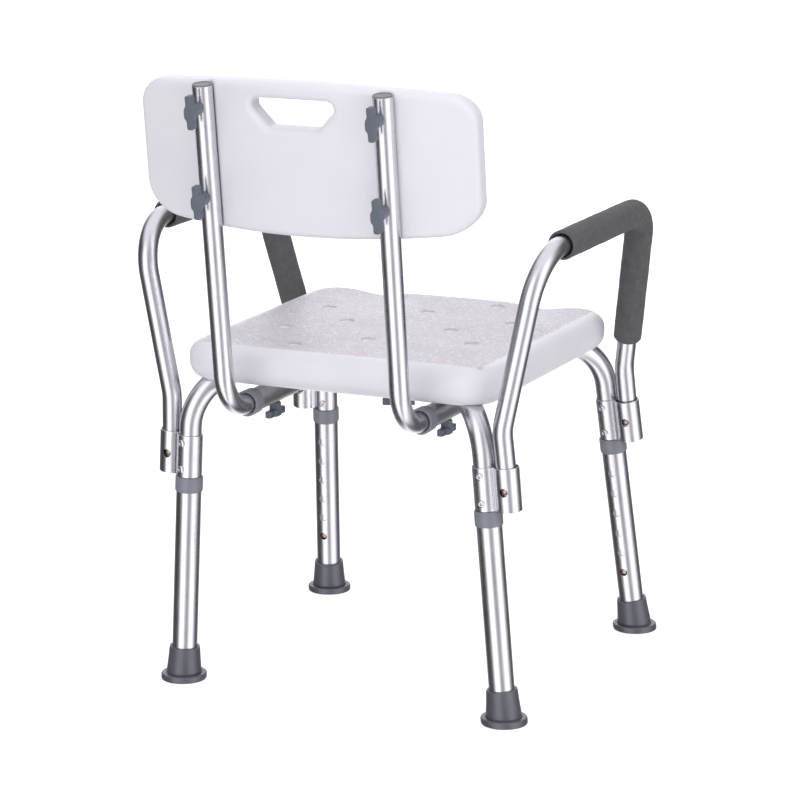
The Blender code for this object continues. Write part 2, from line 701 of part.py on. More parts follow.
def build_armrest(side):
    up, rear = arm_axes(side)
    back_leg, front_leg = LEGS["back", side], LEGS["front", side]
    back, front = arm_socket(back_leg), arm_socket(front_leg)
    back_x, front_x = ARM_TOP_X[side]
    back_knee, front_knee = back + up * (62 * MM), front + up * (60 * MM)
    back_top = mm(back_x, ARM_BACK_Y, ARM_BACK_Z)
    front_top = mm(front_x, ARM_FRONT_Y, ARM_FRONT_Z)
    below = up * (21 * MM)
    path = fillet_path(
        [back - below, back_knee, back_top, front_top, front_knee, front - below],
        [60, 58, ARM_FRONT_BEND_R, 60])
    loop = finish("armrest_tube_" + side, tube(path, ARM_RO, ARM_RI, 14, X), ALU)
    boolean(loop, [cross_hole(arm_button_point(leg), rear, 6, 16, 3.9, 10)
                   for leg in (back_leg, front_leg)])
    origin = (back + front) / 2
    set_origin(loop, origin)

    # foam grip along the top and down the front; it shares the tube's facets
    # so the gap stays even
    run = (front_top - back_top).normalized()
    down = (front_knee - front_top).normalized()
    start = back_top + run * ((ARM_BACK_Y - GRIP_BACK_Y) * MM)
    end = front_top + down * ((ARM_FRONT_Z - GRIP_LOW_Z) * MM / -down.z)
    path = fillet_path([start, front_top, end], [ARM_FRONT_BEND_R])
    finish("foam_grip_" + side, tube(path, 16.2, 11.6, 14, X), FOAM, origin)


for side in SIDES:
    build_armrest(side)

# ---------------------------------------------------------------- origin
# The origin goes to the middle of the underside of the chair's bounding box.
bpy.context.view_layer.update()
points = [ob.matrix_world @ v.co for ob in bpy.data.objects for v in ob.data.vertices]
low = Vector([min(p[k] for p in points) for k in range(3)])
high = Vector([max(p[k] for p in points) for k in range(3)])
shift = Vector((-(low.x + high.x) / 2, -(low.y + high.y) / 2, -low.z))
for ob in bpy.data.objects:
    ob.location = ob.location + shift
bpy.context.view_layer.update()
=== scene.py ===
"""A bath stool with a drained seat, padded armrest loops and a backrest on two tilted posts.

+X is the sitter's left, +Y the back and +Z up. The layout is in millimetres from the floor
point midway between the feet, and the finished pieces are moved from there onto the CAD.
"""
import json
import math

import bpy
import bmesh
import numpy as np
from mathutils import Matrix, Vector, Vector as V


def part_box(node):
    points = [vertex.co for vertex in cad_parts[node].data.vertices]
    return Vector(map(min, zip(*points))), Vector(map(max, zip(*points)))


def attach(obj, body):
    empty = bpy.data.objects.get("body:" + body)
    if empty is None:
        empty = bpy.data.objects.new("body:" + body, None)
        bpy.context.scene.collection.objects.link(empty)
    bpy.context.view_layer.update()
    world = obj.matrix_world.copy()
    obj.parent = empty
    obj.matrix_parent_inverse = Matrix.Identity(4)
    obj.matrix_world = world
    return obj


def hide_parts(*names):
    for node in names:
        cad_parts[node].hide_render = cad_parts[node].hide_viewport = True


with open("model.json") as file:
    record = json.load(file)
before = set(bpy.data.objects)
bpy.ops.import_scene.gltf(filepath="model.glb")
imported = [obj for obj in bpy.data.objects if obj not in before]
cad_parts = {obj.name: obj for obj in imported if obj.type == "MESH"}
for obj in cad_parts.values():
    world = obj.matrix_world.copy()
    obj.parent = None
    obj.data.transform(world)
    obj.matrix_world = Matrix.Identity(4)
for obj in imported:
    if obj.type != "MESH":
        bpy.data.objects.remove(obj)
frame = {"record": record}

MM = 0.001
X, Y, Z = V((1, 0, 0)), V((0, 1, 0)), V((0, 0, 1))

# ================================================================ layout, mm
SIDES = {"left": 1, "right": -1}
OTHER_SIDE = {"left": "right", "right": "left"}

# seat block: half width, back and front y, top and bottom z, and its radii
SEAT_HALF_W, SEAT_BACK, SEAT_FRONT = 190.5, 215.0, -154.0
SEAT_TOP, SEAT_BOTTOM = 398.6, 355.0
SEAT_CORNER_R, SEAT_TOP_R, SEAT_BOTTOM_R = 42.0, 17.0, 20.0

# where each leg's axis meets the floor, and how far it leans per unit of height
LEGS = {
    "back": dict(x=199.8, y=194.7, lean_y=0.0323),
    "front": dict(x=203.5, y=-194.7, lean_y=0.1575),
}
LEG_LEAN_X = 0.0671
LEG_R, LEG_BORE = 14.3, 13.1
LEG_BOTTOM, LEG_TOP = 9.4, 241.4
HOLE_Z, HOLE_PITCH, HOLE_R = 78.0, 25.4, 4.5      # row of button holes up each leg

FRAME_R, FRAME_BORE = 12.7, 11.5                  # crossed leg frames
BEND_Z, FRAME_Z = 299.0, 361.6
BEND_R = FRAME_Z - BEND_Z
BOLT_R = 3.4

CLAMP_Z, CLAMP_H = 268.8, 49.0
CLAMP_YAW = {                                     # degrees
    ("back", "left"): -14, ("back", "right"): 4,
    ("front", "left"): 11, ("front", "right"): 11,
}
RIVET_OFFSETS = {"lower": -15.3, "upper": 15.3}   # along the leg from the clamp's middle
RIVET_HOLE_R = 2.4

POST_X, POST_Z, POST_TOP = 106.0, 335.6, 704.0    # backrest posts
POST_SLOPE = 0.1174                               # rearward per unit of height
POST_R, POST_BORE = 11.1, 9.9                     # the armrest loops share this tube
KNOB_Z = {"upper": 681.5, "lower": 583.0}
PANEL_Z, PANEL_DEPTH = 627.0, 28.0

ARM_OFFSET, ARM_SOCKET_Z = 26.5, 273.0
# x of the armrest top at its back and front bends; the loops stand a little loose
ARM_TOP_X = {"left": (237.5, 234.5), "right": (-244.5, -247.5)}
ARM_BACK_Y, ARM_BACK_Z = 207.0, 529.5
ARM_FRONT_Y, ARM_FRONT_Z = -85.0, 531.0
ARM_FRONT_BEND = 45.0

# ================================================================ CAD pieces
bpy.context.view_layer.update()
seat_lo, seat_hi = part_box("seat")
ORIGIN = V((
    (seat_lo[0] + seat_hi[0]) / 2,
    (seat_lo[1] + seat_hi[1]) / 2 - (SEAT_BACK + SEAT_FRONT) / 2 * MM,
    seat_lo[2] - SEAT_BOTTOM * MM,
))
BODY = {node: body for body, nodes in frame["record"]["behaviour"]["bodies"].items()
        for node in nodes}


# ================================================================ shader tools
class Nodes:
    """Short calls for building a node tree."""

    def __init__(self, tree):
        self.tree = tree

    def node(self, kind, **props):
        node = self.tree.nodes.new(kind)
        for key, value in props.items():
            setattr(node, key, value)
        return node

    def link(self, output, socket):
        self.tree.links.new(output, socket)

    def put(self, socket, value):
        if isinstance(value, bpy.types.NodeSocket):
            self.link(value, socket)
        else:
            socket.default_value = value

    def coords(self, scale=(1, 1, 1), attr=None):
        if attr:
            source = self.attribute(attr, "Vector")
        else:
            source = self.node("ShaderNodeTexCoord").outputs["Object"]
        mapping = self.node("ShaderNodeMapping")
        mapping.inputs["Scale"].default_value = scale
        self.link(source, mapping.inputs["Vector"])
        return mapping.outputs["Vector"]

    def attribute(self, name, output):
        return self.node("ShaderNodeAttribute", attribute_name=name).outputs[output]

    def noise(self, vector, scale, detail=3.0, rough=0.5, distort=0.0, output="Fac"):
        node = self.node("ShaderNodeTexNoise")
        self.link(vector, node.inputs["Vector"])
        node.inputs["Scale"].default_value = scale
        node.inputs["Detail"].default_value = detail
        node.inputs["Roughness"].default_value = rough
        node.inputs["Distortion"].default_value = distort
        return node.outputs[output]

    def voronoi(self, vector, scale, feature="F1"):
        node = self.node("ShaderNodeTexVoronoi", feature=feature)
        self.link(vector, node.inputs["Vector"])
        node.inputs["Scale"].default_value = scale
        return node.outputs["Distance"]

    def math(self, operation, a, b=0.0):
        node = self.node("ShaderNodeMath", operation=operation)
        self.put(node.inputs[0], a)
        self.put(node.inputs[1], b)
        return node.outputs[0]

    def add(self, first, *others):
        for other in others:
            first = self.math("ADD", first, other)
        return first

    def subtract(self, a, b):
        return self.math("SUBTRACT", a, b)

    def times(self, a, b):
        return self.math("MULTIPLY", a, b)

    def remap(self, value, span=(0.3, 0.7), to=(0.0, 1.0), smooth=False):
        """Map a span of values to another; 0.3 to 0.7 is what most noise fills."""
        node = self.node("ShaderNodeMapRange")
        if smooth:
            node.interpolation_type = "SMOOTHSTEP"
        self.put(node.inputs["Value"], value)
        for key, limit in zip(("From Min", "From Max", "To Min", "To Max"), (*span, *to)):
            node.inputs[key].default_value = limit
        return node.outputs["Result"]

    def mix(self, factor, a, b, blend="MIX"):
        node = self.node("ShaderNodeMix", data_type="RGBA", blend_type=blend)
        self.put(node.inputs["Factor"], factor)
        for index, colour in ((6, a), (7, b)):
            self.put(node.inputs[index], (*colour, 1.0) if isinstance(colour, tuple) else colour)
        return node.outputs[2]

    def bump(self, height, strength, distance, normal=None):
        node = self.node("ShaderNodeBump")
        node.inputs["Strength"].default_value = strength
        node.inputs["Distance"].default_value = distance
        self.link(height, node.inputs["Height"])
        if normal is not None:
            self.link(normal, node.inputs["Normal"])
        return node.outputs["Normal"]

    def split(self, vector):
        node = self.node("ShaderNodeSeparateXYZ")
        self.link(vector, node.inputs[0])
        return node.outputs

    def geometry(self, output):
        return self.node("ShaderNodeNewGeometry").outputs[output]

    def is_camera_ray(self):
        return self.node("ShaderNodeLightPath").outputs["Is Camera Ray"]


class Surface(Nodes):
    """A new material and its principled shader."""

    def __init__(self, name):
        self.material = bpy.data.materials.new(name)
        self.material.use_nodes = True
        super().__init__(self.material.node_tree)
        self.shader = self.tree.nodes["Principled BSDF"]

    def set(self, **values):
        for key, value in values.items():
            socket = self.shader.inputs[key.replace("_", " ")]
            if isinstance(value, tuple) and len(value) == 3 and socket.type == "RGBA":
                value = (*value, 1.0)
            self.put(socket, value)


def scaled(colour, factor):
    return tuple(c * factor for c in colour)


# ================================================================ materials
WHITE_DULL, WHITE_CLEAR = (0.815, 0.805, 0.845), (0.855, 0.845, 0.88)


def make_aluminium(name, base=(0.70, 0.70, 0.735), rough=0.265, tube=True):
    """Drawn metal with streaks along the tube, or along object z."""
    S = Surface(name)
    attr = "tc" if tube else None
    line = S.coords((1, 1, 0.012 if tube else 0.02), attr)
    long = S.coords((1, 1, 0.15 if tube else 0.3), attr)
    obj = S.coords()
    streak = S.noise(line, scale=1500, detail=4.0, rough=0.65)
    broad = S.noise(long, scale=130)
    smudge = S.noise(obj, scale=26, detail=4.0, rough=0.6, distort=0.4)
    speck = S.noise(obj, scale=2600, detail=2.0)
    colour = S.mix(S.remap(broad), scaled(base, 0.93), base)
    wear = S.remap(S.geometry("Pointiness"), span=(0.53, 0.60), to=(0.0, 0.35))
    height = S.add(S.times(streak, 0.7), S.times(speck, 0.3))
    S.set(
        Metallic=1.0,
        Base_Color=S.mix(wear, colour, (0.86, 0.86, 0.88)),
        Roughness=S.add(
            S.remap(streak, to=(-0.03, 0.05)), rough,
            S.remap(smudge, span=(0.35, 0.75), to=(-0.02, 0.06)),
            S.remap(broad, to=(-0.02, 0.02))),
        Normal=S.bump(height, strength=0.22, distance=0.00006),
    )
    S.material.diffuse_color = (*base, 1)
    return S.material


def set_translucent(S, weight):
    S.set(Specular_IOR_Level=0.5, Subsurface_Weight=weight,
          Subsurface_Radius=(0.9, 0.75, 0.8), Subsurface_Scale=0.004)


def make_plastic(name):
    """White blow-moulded polyethylene: soft gloss, faint orange peel."""
    S = Surface(name)
    obj = S.coords()
    peel = S.noise(obj, scale=95, distort=0.3)
    fine = S.noise(obj, scale=900, detail=2.0)
    cloud = S.noise(obj, scale=9)
    height = S.add(peel, S.times(fine, 0.12))
    S.set(
        Base_Color=S.mix(S.remap(cloud), WHITE_DULL, WHITE_CLEAR),
        Roughness=S.add(S.remap(peel, to=(0.30, 0.37)), S.remap(fine, to=(0.0, 0.03))),
        Normal=S.bump(height, strength=0.10, distance=0.0005),
    )
    set_translucent(S, weight=0.12)
    return S.material


def grain_mask(S, obj):
    """1 on the flat of the seat top, 0 on its rim and sides (metres)."""
    half_width, back, front = 0.1745, 0.1985, 0.148
    normal_z = S.split(S.geometry("Normal"))[2]
    px, py, pz = S.split(S.node("ShaderNodeTexCoord").outputs["Object"])
    to_side = S.subtract(half_width, S.math("ABSOLUTE", px))
    to_end = S.math("MINIMUM", S.subtract(back, py), S.add(py, front))
    wobble = S.noise(obj, scale=260, detail=2.0)
    distance = S.add(S.math("MINIMUM", to_side, to_end), S.remap(wobble, to=(-0.0022, 0.0022)))
    mask = S.times(S.remap(distance, span=(0.0, 0.005), smooth=True),
                   S.remap(normal_z, span=(0.80, 0.93), smooth=True))
    return S.times(mask, S.remap(pz, span=(0.388, 0.3925)))


def make_seat_plastic(name):
    """The same plastic; the flat of the seat top has a crinkled, pebbled grain, with painted shade
    in its creases and painted highlights on its crests.
    """
    S = Surface(name)
    obj = S.coords()
    mask = grain_mask(S, obj)
    warp = S.node("ShaderNodeVectorMath", operation="MULTIPLY_ADD")
    S.link(S.noise(obj, scale=170, detail=2.0, output="Color"), warp.inputs[0])
    warp.inputs[1].default_value = (0.006, 0.006, 0.006)
    S.link(obj, warp.inputs[2])
    warped = warp.outputs[0]
    cells = S.voronoi(warped, scale=165, feature="SMOOTH_F1")
    edges = S.voronoi(warped, scale=185, feature="DISTANCE_TO_EDGE")
    crease = S.remap(edges, span=(0.0, 0.20), smooth=True)
    crinkle = S.noise(warped, scale=300, rough=0.6, distort=0.8)
    grain = S.add(S.times(crease, 0.55), S.times(crinkle, 0.6))
    grain = S.subtract(grain, S.times(cells, 0.5))
    peel = S.noise(obj, scale=95, distort=0.3)
    cloud = S.noise(obj, scale=14, rough=0.55)
    side = S.mix(S.remap(cloud), WHITE_DULL, WHITE_CLEAR)
    # painted shade in the creases of the grain and painted highlights on its crests
    top = S.mix(S.remap(grain, span=(0.48, 0.88)), (0.66, 0.61, 0.655), (0.98, 0.935, 0.97))
    top = S.mix(S.remap(cloud, span=(0.35, 0.7), to=(0.0, 0.4)), top, (0.90, 0.865, 0.90))
    # the drain mouths sit in the shade of their own rims
    top = S.mix(S.attribute("drain", "Fac"), top, (0.24, 0.23, 0.24))
    side_rough = S.remap(peel, to=(0.31, 0.38))
    top_rough = S.remap(crinkle, to=(0.28, 0.42))
    peel_normal = S.bump(peel, strength=0.10, distance=0.0005)
    S.set(
        Base_Color=S.mix(mask, side, top),
        Roughness=S.add(S.times(side_rough, S.subtract(1.0, mask)), S.times(top_rough, mask)),
        Normal=S.bump(S.times(grain, mask), strength=0.95, distance=0.0012, normal=peel_normal),
    )
    set_translucent(S, weight=0.10)
    return S.material


def make_moulded(name, base, rough, grain_scale, bump, depth=0.0003, specular=0.5, wear=0.25):
    """Grained plastic or rubber, paler along its worn edges."""
    S = Surface(name)
    obj = S.coords()
    grain = S.noise(obj, scale=grain_scale, rough=0.6)
    cloud = S.noise(obj, scale=60)
    colour = S.mix(S.remap(cloud), scaled(base, 0.86), base)
    light_grain = S.remap(grain, span=(0.35, 0.65), to=(0.0, 0.35))
    colour = S.mix(light_grain, colour, scaled(base, 1.18))
    worn = tuple(min(1.0, c * 1.7 + 0.02) for c in base)
    edges = S.remap(S.geometry("Pointiness"), span=(0.52, 0.60), to=(0.0, wear))
    S.set(
        Base_Color=S.mix(edges, colour, worn),
        Roughness=S.add(S.remap(grain, to=(rough - 0.05, rough + 0.06)),
                        S.remap(cloud, to=(-0.03, 0.03))),
        Specular_IOR_Level=specular,
        Normal=S.bump(grain, strength=bump, distance=depth),
    )
    return S.material


def make_foam(name):
    """Closed-cell foam sleeve: tiny cells, dusty sheen, faint lengthwise drag marks."""
    S = Surface(name)
    obj = S.coords()
    cells = S.voronoi(obj, scale=1500)
    fine = S.noise(obj, scale=1900, rough=0.6)
    mottled = S.noise(obj, scale=120, detail=4.0, rough=0.6)
    drag = S.noise(S.coords((1, 1, 0.06), "tc"), scale=520, rough=0.6)
    colour = S.mix(S.remap(mottled), (0.098, 0.098, 0.104), (0.128, 0.128, 0.134))
    pits = S.remap(cells, span=(0.1, 0.6), to=(0.5, 0.0))
    colour = S.mix(pits, colour, (0.062, 0.062, 0.067))
    marks = S.remap(drag, span=(0.45, 0.75), to=(0.0, 0.3))
    height = S.add(
        S.subtract(S.times(fine, 0.6), S.times(cells, 0.6)),
        S.times(mottled, 0.5), S.times(drag, 0.35))
    S.set(
        Base_Color=S.mix(marks, colour, (0.16, 0.16, 0.166)),
        Roughness=S.remap(fine, to=(0.62, 0.80)),
        Specular_IOR_Level=0.22,
        Sheen_Weight=0.04,
        Sheen_Roughness=0.4,
        Normal=S.bump(height, strength=0.35, distance=0.0005),
    )
    return S.material


def make_polished(name, base, rough):
    S = Surface(name)
    obj = S.coords()
    fine = S.noise(obj, scale=700, rough=0.6)
    broad = S.noise(obj, scale=180, detail=2.0)
    S.set(
        Metallic=1.0,
        Base_Color=S.mix(S.remap(broad), scaled(base, 0.85), base),
        Roughness=S.add(S.remap(fine, to=(rough - 0.04, rough + 0.06)),
                        S.remap(broad, to=(0.0, 0.06))),
        Normal=S.bump(fine, strength=0.12, distance=0.0001),
    )
    return S.material


PANEL_WHITE = make_plastic("polyethylene_white")
SEAT_WHITE = make_seat_plastic("polyethylene_white_grained_seat")
TUBE_METAL = make_aluminium("aluminium_drawn_tube")
RECEIVER_METAL = make_aluminium("aluminium_receiver", base=(0.52, 0.52, 0.52), rough=0.34)
CLAMP_METAL = make_aluminium("aluminium_extrusion", rough=0.27, tube=False)
COLLAR_GREY = make_moulded("plastic_collar_grey", base=(0.236, 0.25, 0.282), rough=0.36,
                           grain_scale=1100, bump=0.25)
RUBBER = make_moulded("rubber_foot_grey", base=(0.092, 0.098, 0.115), rough=0.36,
                      grain_scale=700, bump=0.3, depth=0.0004, specular=0.8)
KNOB_SLATE = make_moulded("plastic_knob_slate", base=(0.116, 0.133, 0.167), rough=0.42,
                          grain_scale=1300, bump=0.3, depth=0.00025, wear=0.4)
CAP_GREY = make_moulded("plastic_cap_grey", base=(0.19, 0.187, 0.20), rough=0.40,
                        grain_scale=900, bump=0.2)
FOAM = make_foam("foam_sleeve_grey")
STEEL = make_polished("steel_rivet", base=(0.74, 0.74, 0.76), rough=0.14)
COPPER = make_polished("copper_snap_button", base=(0.46, 0.34, 0.27), rough=0.28)


# ================================================================ shapes, metres
def mm(x, y, z):
    return V((x * MM, y * MM, z * MM))


def smoothstep(t):
    t = min(1.0, max(0.0, t))
    return t * t * (3 - 2 * t)


def quarter(radius, steps):
    """(inset, rise) steps round an edge, from the flat up to the side."""
    angles = [math.radians(90 * k / steps) for k in range(steps + 1)]
    return [(radius * (1 - math.sin(a)), radius * (1 - math.cos(a))) for a in angles]


def ring_mesh(rings, closed=False):
    """Skin a stack of rings; closed joins the last to the first, else both ends get a cap."""
    bm = bmesh.new()
    verts = [[bm.verts.new(p) for p in ring] for ring in rings]
    count = len(rings[0])
    pairs = list(zip(verts, verts[1:]))
    if closed:
        pairs.append((verts[-1], verts[0]))
    for a, b in pairs:
        for i in range(count):
            j = (i + 1) % count
            bm.faces.new((a[i], a[j], b[j], b[i]))
    if not closed:
        bm.faces.new(list(reversed(verts[0])))
        bm.faces.new(verts[-1])
    return bm


def frame_for(axis, ref=Y):
    """Two directions square to an axis, the first as near ref as it can be."""
    t = axis.normalized()
    u = ref - t * ref.dot(t)
    if u.length < 1e-4:
        u = X - t * X.dot(t)
    u.normalize()
    return u, t.cross(u)


def circle(centre, u, v, radius, sides):
    angles = [2 * math.pi * i / sides for i in range(sides)]
    return [centre + u * (radius * math.cos(a)) + v * (radius * math.sin(a)) for a in angles]


def lathe(centre, axis, profile, sides, ref=Y, closed=False):
    """Revolve (radius, height) pairs about an axis through centre."""
    u, v = frame_for(axis, ref)
    w = axis.normalized()
    return ring_mesh([circle(centre + w * h, u, v, r, sides) for r, h in profile], closed)


def rod(start, end, radius, sides, ref=Y):
    axis = end - start
    return lathe(start, axis, [(radius, 0.0), (radius, axis.length)], sides, ref)


def hole(centre, axis, start, end, radius, sides=24):
    """Cutting rod along an axis, from start to end mm past centre; radius in mm."""
    return rod(centre + axis * (start * MM), centre + axis * (end * MM), radius * MM, sides, X)


def bolt_hole(x, y, low, high):
    """Upright cutting rod at x, y in metres, from low to high in mm."""
    return rod(V((x, y, low * MM)), V((x, y, high * MM)), BOLT_R * MM, 24)


def rounded(corners, arc_steps=4):
    """Profile points from (radius, height, corner radius) rows."""
    out = []
    for i, (x, y, radius) in enumerate(corners):
        if radius <= 0:
            out.append((x, y))
            continue
        before, after = corners[i - 1], corners[(i + 1) % len(corners)]
        a, b, c = (V((p[0], p[1], 0)) for p in (before, (x, y), after))
        d1, d2 = b - a, c - b
        reach = min(radius, d1.length * 0.49, d2.length * 0.49)
        start, end = b - d1.normalized() * reach, b + d2.normalized() * reach
        for j in range(arc_steps + 1):
            t = j / arc_steps
            q = start * (1 - t) ** 2 + b * (2 * t * (1 - t)) + end * t ** 2
            out.append((q.x, q.y))
    return out


def turned(centre, axis, corners, sides, ref=X, arc_steps=4, closed=False):
    """Lathe a table of rounded corners, in mm."""
    profile = [(r * MM, h * MM) for r, h in rounded(corners, arc_steps)]
    return lathe(centre, axis, profile, sides, ref, closed)


def fillet_path(points, radii, step=3.0, span=None):
    """(point, tangent) list of a polyline with arcs at its corners.

    Arcs turn by about step degrees; runs are split into pieces shorter than span."""
    out = [(points[0], (points[1] - points[0]).normalized())]
    for before, corner, after, radius in zip(points, points[1:], points[2:], radii):
        d1, d2 = (corner - before).normalized(), (after - corner).normalized()
        turn = d1.angle(d2)
        start = corner - d1 * (radius * math.tan(turn / 2))
        inward = (d2 - d1 * d1.dot(d2)).normalized()
        centre = start + inward * radius
        steps = max(2, round(math.degrees(turn) / step))
        for j in range(steps + 1):
            a = turn * j / steps
            p = centre - inward * (radius * math.cos(a)) + d1 * (radius * math.sin(a))
            out.append((p, (d1 * math.cos(a) + inward * math.sin(a)).normalized()))
    out.append((points[-1], (points[-1] - points[-2]).normalized()))
    if not span:
        return out
    dense = [out[0]]
    for (p, t), (q, w) in zip(out, out[1:]):
        extra = int((q - p).length / span)
        for j in range(1, extra + 1):
            f = j / (extra + 1)
            dense.append((p.lerp(q, f), t.lerp(w, f).normalized()))
        dense.append((q, w))
    return dense


def carried(path, ref=Y):
    """(point, tangent, u, v) along a path, twisting as little as possible."""
    u, _ = frame_for(path[0][1], ref)
    out = []
    for p, t in path:
        u = (u - t * u.dot(t)).normalized()
        out.append((p, t, u, t.cross(u)))
    return out


def tube(path, outer_r, bore_r, sides, ref=Y):
    """Hollow tube with slightly rounded ends."""
    frames = carried(path, ref)
    outer = [circle(p, u, v, outer_r, sides) for p, t, u, v in frames]
    inner = [circle(p, u, v, bore_r, sides) for p, t, u, v in frames]
    lip = min(0.35 * MM, (outer_r - bore_r) * 0.45)
    rims = []
    for index, inset in ((0, lip), (-1, -lip)):
        p, t, u, v = frames[index]
        rims.append([circle(p, u, v, r, sides) for r in (bore_r + lip, outer_r - lip)])
        outer[index] = circle(p + t * inset, u, v, outer_r, sides)
        inner[index] = circle(p + t * inset, u, v, bore_r, sides)
    start, end = rims
    return ring_mesh(start + outer + end[::-1] + inner[::-1], closed=True)


def prism(outline, direction, length):
    d = direction.normalized()
    return ring_mesh([outline, [p + d * length for p in outline]])


# ================================================================ object tools
def new_object(name, bm, material, smooth=True, angle=40.0):
    bmesh.ops.remove_doubles(bm, verts=bm.verts, dist=2e-6)
    bmesh.ops.recalc_face_normals(bm, faces=bm.faces)
    mesh = bpy.data.meshes.new(name)
    bm.to_mesh(mesh)
    bm.free()
    ob = bpy.data.objects.new(name, mesh)
    bpy.context.scene.collection.objects.link(ob)
    if material is not None:
        mesh.materials.append(material)
    if smooth:
        mesh.shade_smooth()
        mesh.set_sharp_from_angle(angle=math.radians(angle))
    return ob


def is_closed(mesh):
    bm = bmesh.new()
    bm.from_mesh(mesh)
    good = len(bm.faces) > 3 and all(e.is_manifold for e in bm.edges)
    bm.free()
    return good


def evaluated(ob):
    bpy.context.view_layer.update()
    depsgraph = bpy.context.evaluated_depsgraph_get()
    return bpy.data.meshes.new_from_object(ob.evaluated_get(depsgraph))


def bake(ob):
    """Apply the modifiers, keeping the object's one material."""
    mesh = evaluated(ob)
    ob.modifiers.clear()
    old = ob.data
    material = old.materials[0]
    ob.data = mesh
    bpy.data.meshes.remove(old)
    mesh.name = ob.name
    mesh.materials.clear()
    mesh.materials.append(material)
    mesh.polygons.foreach_set("material_index", [0] * len(mesh.polygons))


def boolean(ob, cutters, operation="DIFFERENCE", angle=40.0):
    for cutter_bm in cutters:
        cutter = new_object("cutter", cutter_bm, None, smooth=False)
        modifier = ob.modifiers.new("b", "BOOLEAN")
        modifier.operation, modifier.solver, modifier.object = operation, "EXACT", cutter
        trial = evaluated(ob)
        # the exact solver can leave an open mesh
        if not is_closed(trial):
            modifier.solver = "MANIFOLD"
        bpy.data.meshes.remove(trial)
        bake(ob)
        cutter_mesh = cutter.data
        bpy.data.objects.remove(cutter, do_unlink=True)
        bpy.data.meshes.remove(cutter_mesh)
    bm = bmesh.new()
    bm.from_mesh(ob.data)
    bmesh.ops.remove_doubles(bm, verts=bm.verts, dist=3e-6)
    bmesh.ops.dissolve_degenerate(bm, edges=bm.edges, dist=1e-6)
    bm.to_mesh(ob.data)
    bm.free()
    ob.data.shade_smooth()
    ob.data.set_sharp_from_angle(angle=math.radians(angle))


def find_islands(bm):
    seen, islands = set(), []
    for first in bm.verts:
        if first in seen:
            continue
        stack, island = [first], []
        seen.add(first)
        while stack:
            vert = stack.pop()
            island.append(vert)
            for edge in vert.link_edges:
                other = edge.other_vert(vert)
                if other not in seen:
                    seen.add(other)
                    stack.append(other)
        islands.append(island)
    return islands


def soften(ob, voxel, rounds):
    """Re-skin a moulding evenly and relax it, so every edge gets a small radius."""
    remesh = ob.modifiers.new("r", "REMESH")
    remesh.mode, remesh.voxel_size = "VOXEL", voxel
    bake(ob)
    smooth = ob.modifiers.new("s", "SMOOTH")
    smooth.factor, smooth.iterations = 0.5, rounds
    bake(ob)
    # only the largest connected part stays
    bm = bmesh.new()
    bm.from_mesh(ob.data)
    for island in sorted(find_islands(bm), key=len, reverse=True)[1:]:
        bmesh.ops.delete(bm, geom=island, context="VERTS")
    bm.to_mesh(ob.data)
    bm.free()
    ob.data.shade_smooth()


def tube_coords(ob, path, ref=Y):
    """Store (across, across, along) coordinates for streaks that run with the tube."""
    frames = carried(path, ref)
    points, _, us, vs = (np.array(column) for column in zip(*frames))
    runs = points[1:] - points[:-1]
    lengths = np.linalg.norm(runs, axis=1)
    starts = np.concatenate([[0], np.cumsum(lengths)])
    co = np.zeros(len(ob.data.vertices) * 3)
    ob.data.vertices.foreach_get("co", co)
    co = co.reshape(-1, 3)
    nearest = np.full(len(co), 1e9)
    out = np.zeros((len(co), 3))
    for i, (run, length) in enumerate(zip(runs, lengths)):
        if length < 1e-9:
            continue
        rel = co - points[i]
        f = np.clip(rel @ run / length ** 2, 0, 1)
        off = rel - f[:, None] * run
        distance = np.linalg.norm(off, axis=1)
        closer = distance < nearest - 1e-9
        nearest[closer] = distance[closer]
        u = us[i] * (1 - f[:, None]) + us[i + 1] * f[:, None]
        v = vs[i] * (1 - f[:, None]) + vs[i + 1] * f[:, None]
        along = starts[i] + f * length
        out[closer] = np.stack([(off * u).sum(1), (off * v).sum(1), along], 1)[closer]
    attribute = ob.data.attributes.new("tc", "FLOAT_VECTOR", "POINT")
    attribute.data.foreach_set("vector", out.astype(np.float32).ravel())


def place(ob, node):
    """Hand a finished piece over: it stands for this node and rides with it."""
    ob.location = ORIGIN
    bpy.context.view_layer.update()
    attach(ob, BODY[node])
    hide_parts(node)


def add_piece(node, suffix, bm, material):
    place(new_object(node + "_" + suffix, bm, material), node)


def add_tube(node, suffix, bm, path, ref, cuts, material=TUBE_METAL):
    ob = new_object(node + "_" + suffix, bm, material)
    boolean(ob, cuts)
    tube_coords(ob, path, ref)
    place(ob, node)


# ================================================================ leg lines
def leg_axis(end, side):
    leg, s = LEGS[end], SIDES[side]
    direction = V((-s * LEG_LEAN_X, leg["lean_y"], 1.0)).normalized()
    return mm(s * leg["x"], leg["y"], 0), direction


def at_z(p, d, z):
    return p + d * ((z * MM - p.z) / d.z)


def bracket_frame(end, side, yaw=0.0):
    """A leg's floor point and direction, with the outward and rearward axes square to it."""
    p, d = leg_axis(end, side)
    u = X * (SIDES[side] * math.cos(yaw)) + Y * math.sin(yaw)
    u = (u - d * u.dot(d)).normalized()
    v = Y - d * Y.dot(d)
    v = (v - u * v.dot(u)).normalized()
    return p, d, u, v


def clamp_frame(end, side):
    return bracket_frame(end, side, math.radians(CLAMP_YAW[end, side]))


def inward_axis(end, side):
    """Square to the leg, from its axis towards the other end of the stool."""
    return bracket_frame(end, side)[3] * (-1 if end == "back" else 1)


def rivet_centre(p, d, offset):
    return at_z(p, d, CLAMP_Z) + d * (offset * MM)


# ================================================================ leg frames
FLAT_REACH, FLAT_FADE = 62, 24.0         # half length of the flattened part, and its taper
FLAT_HEIGHT, FLAT_SHIFT = 0.485, 6.55    # height scale, and shift up or down
FLAT_WIDEN = 0.12


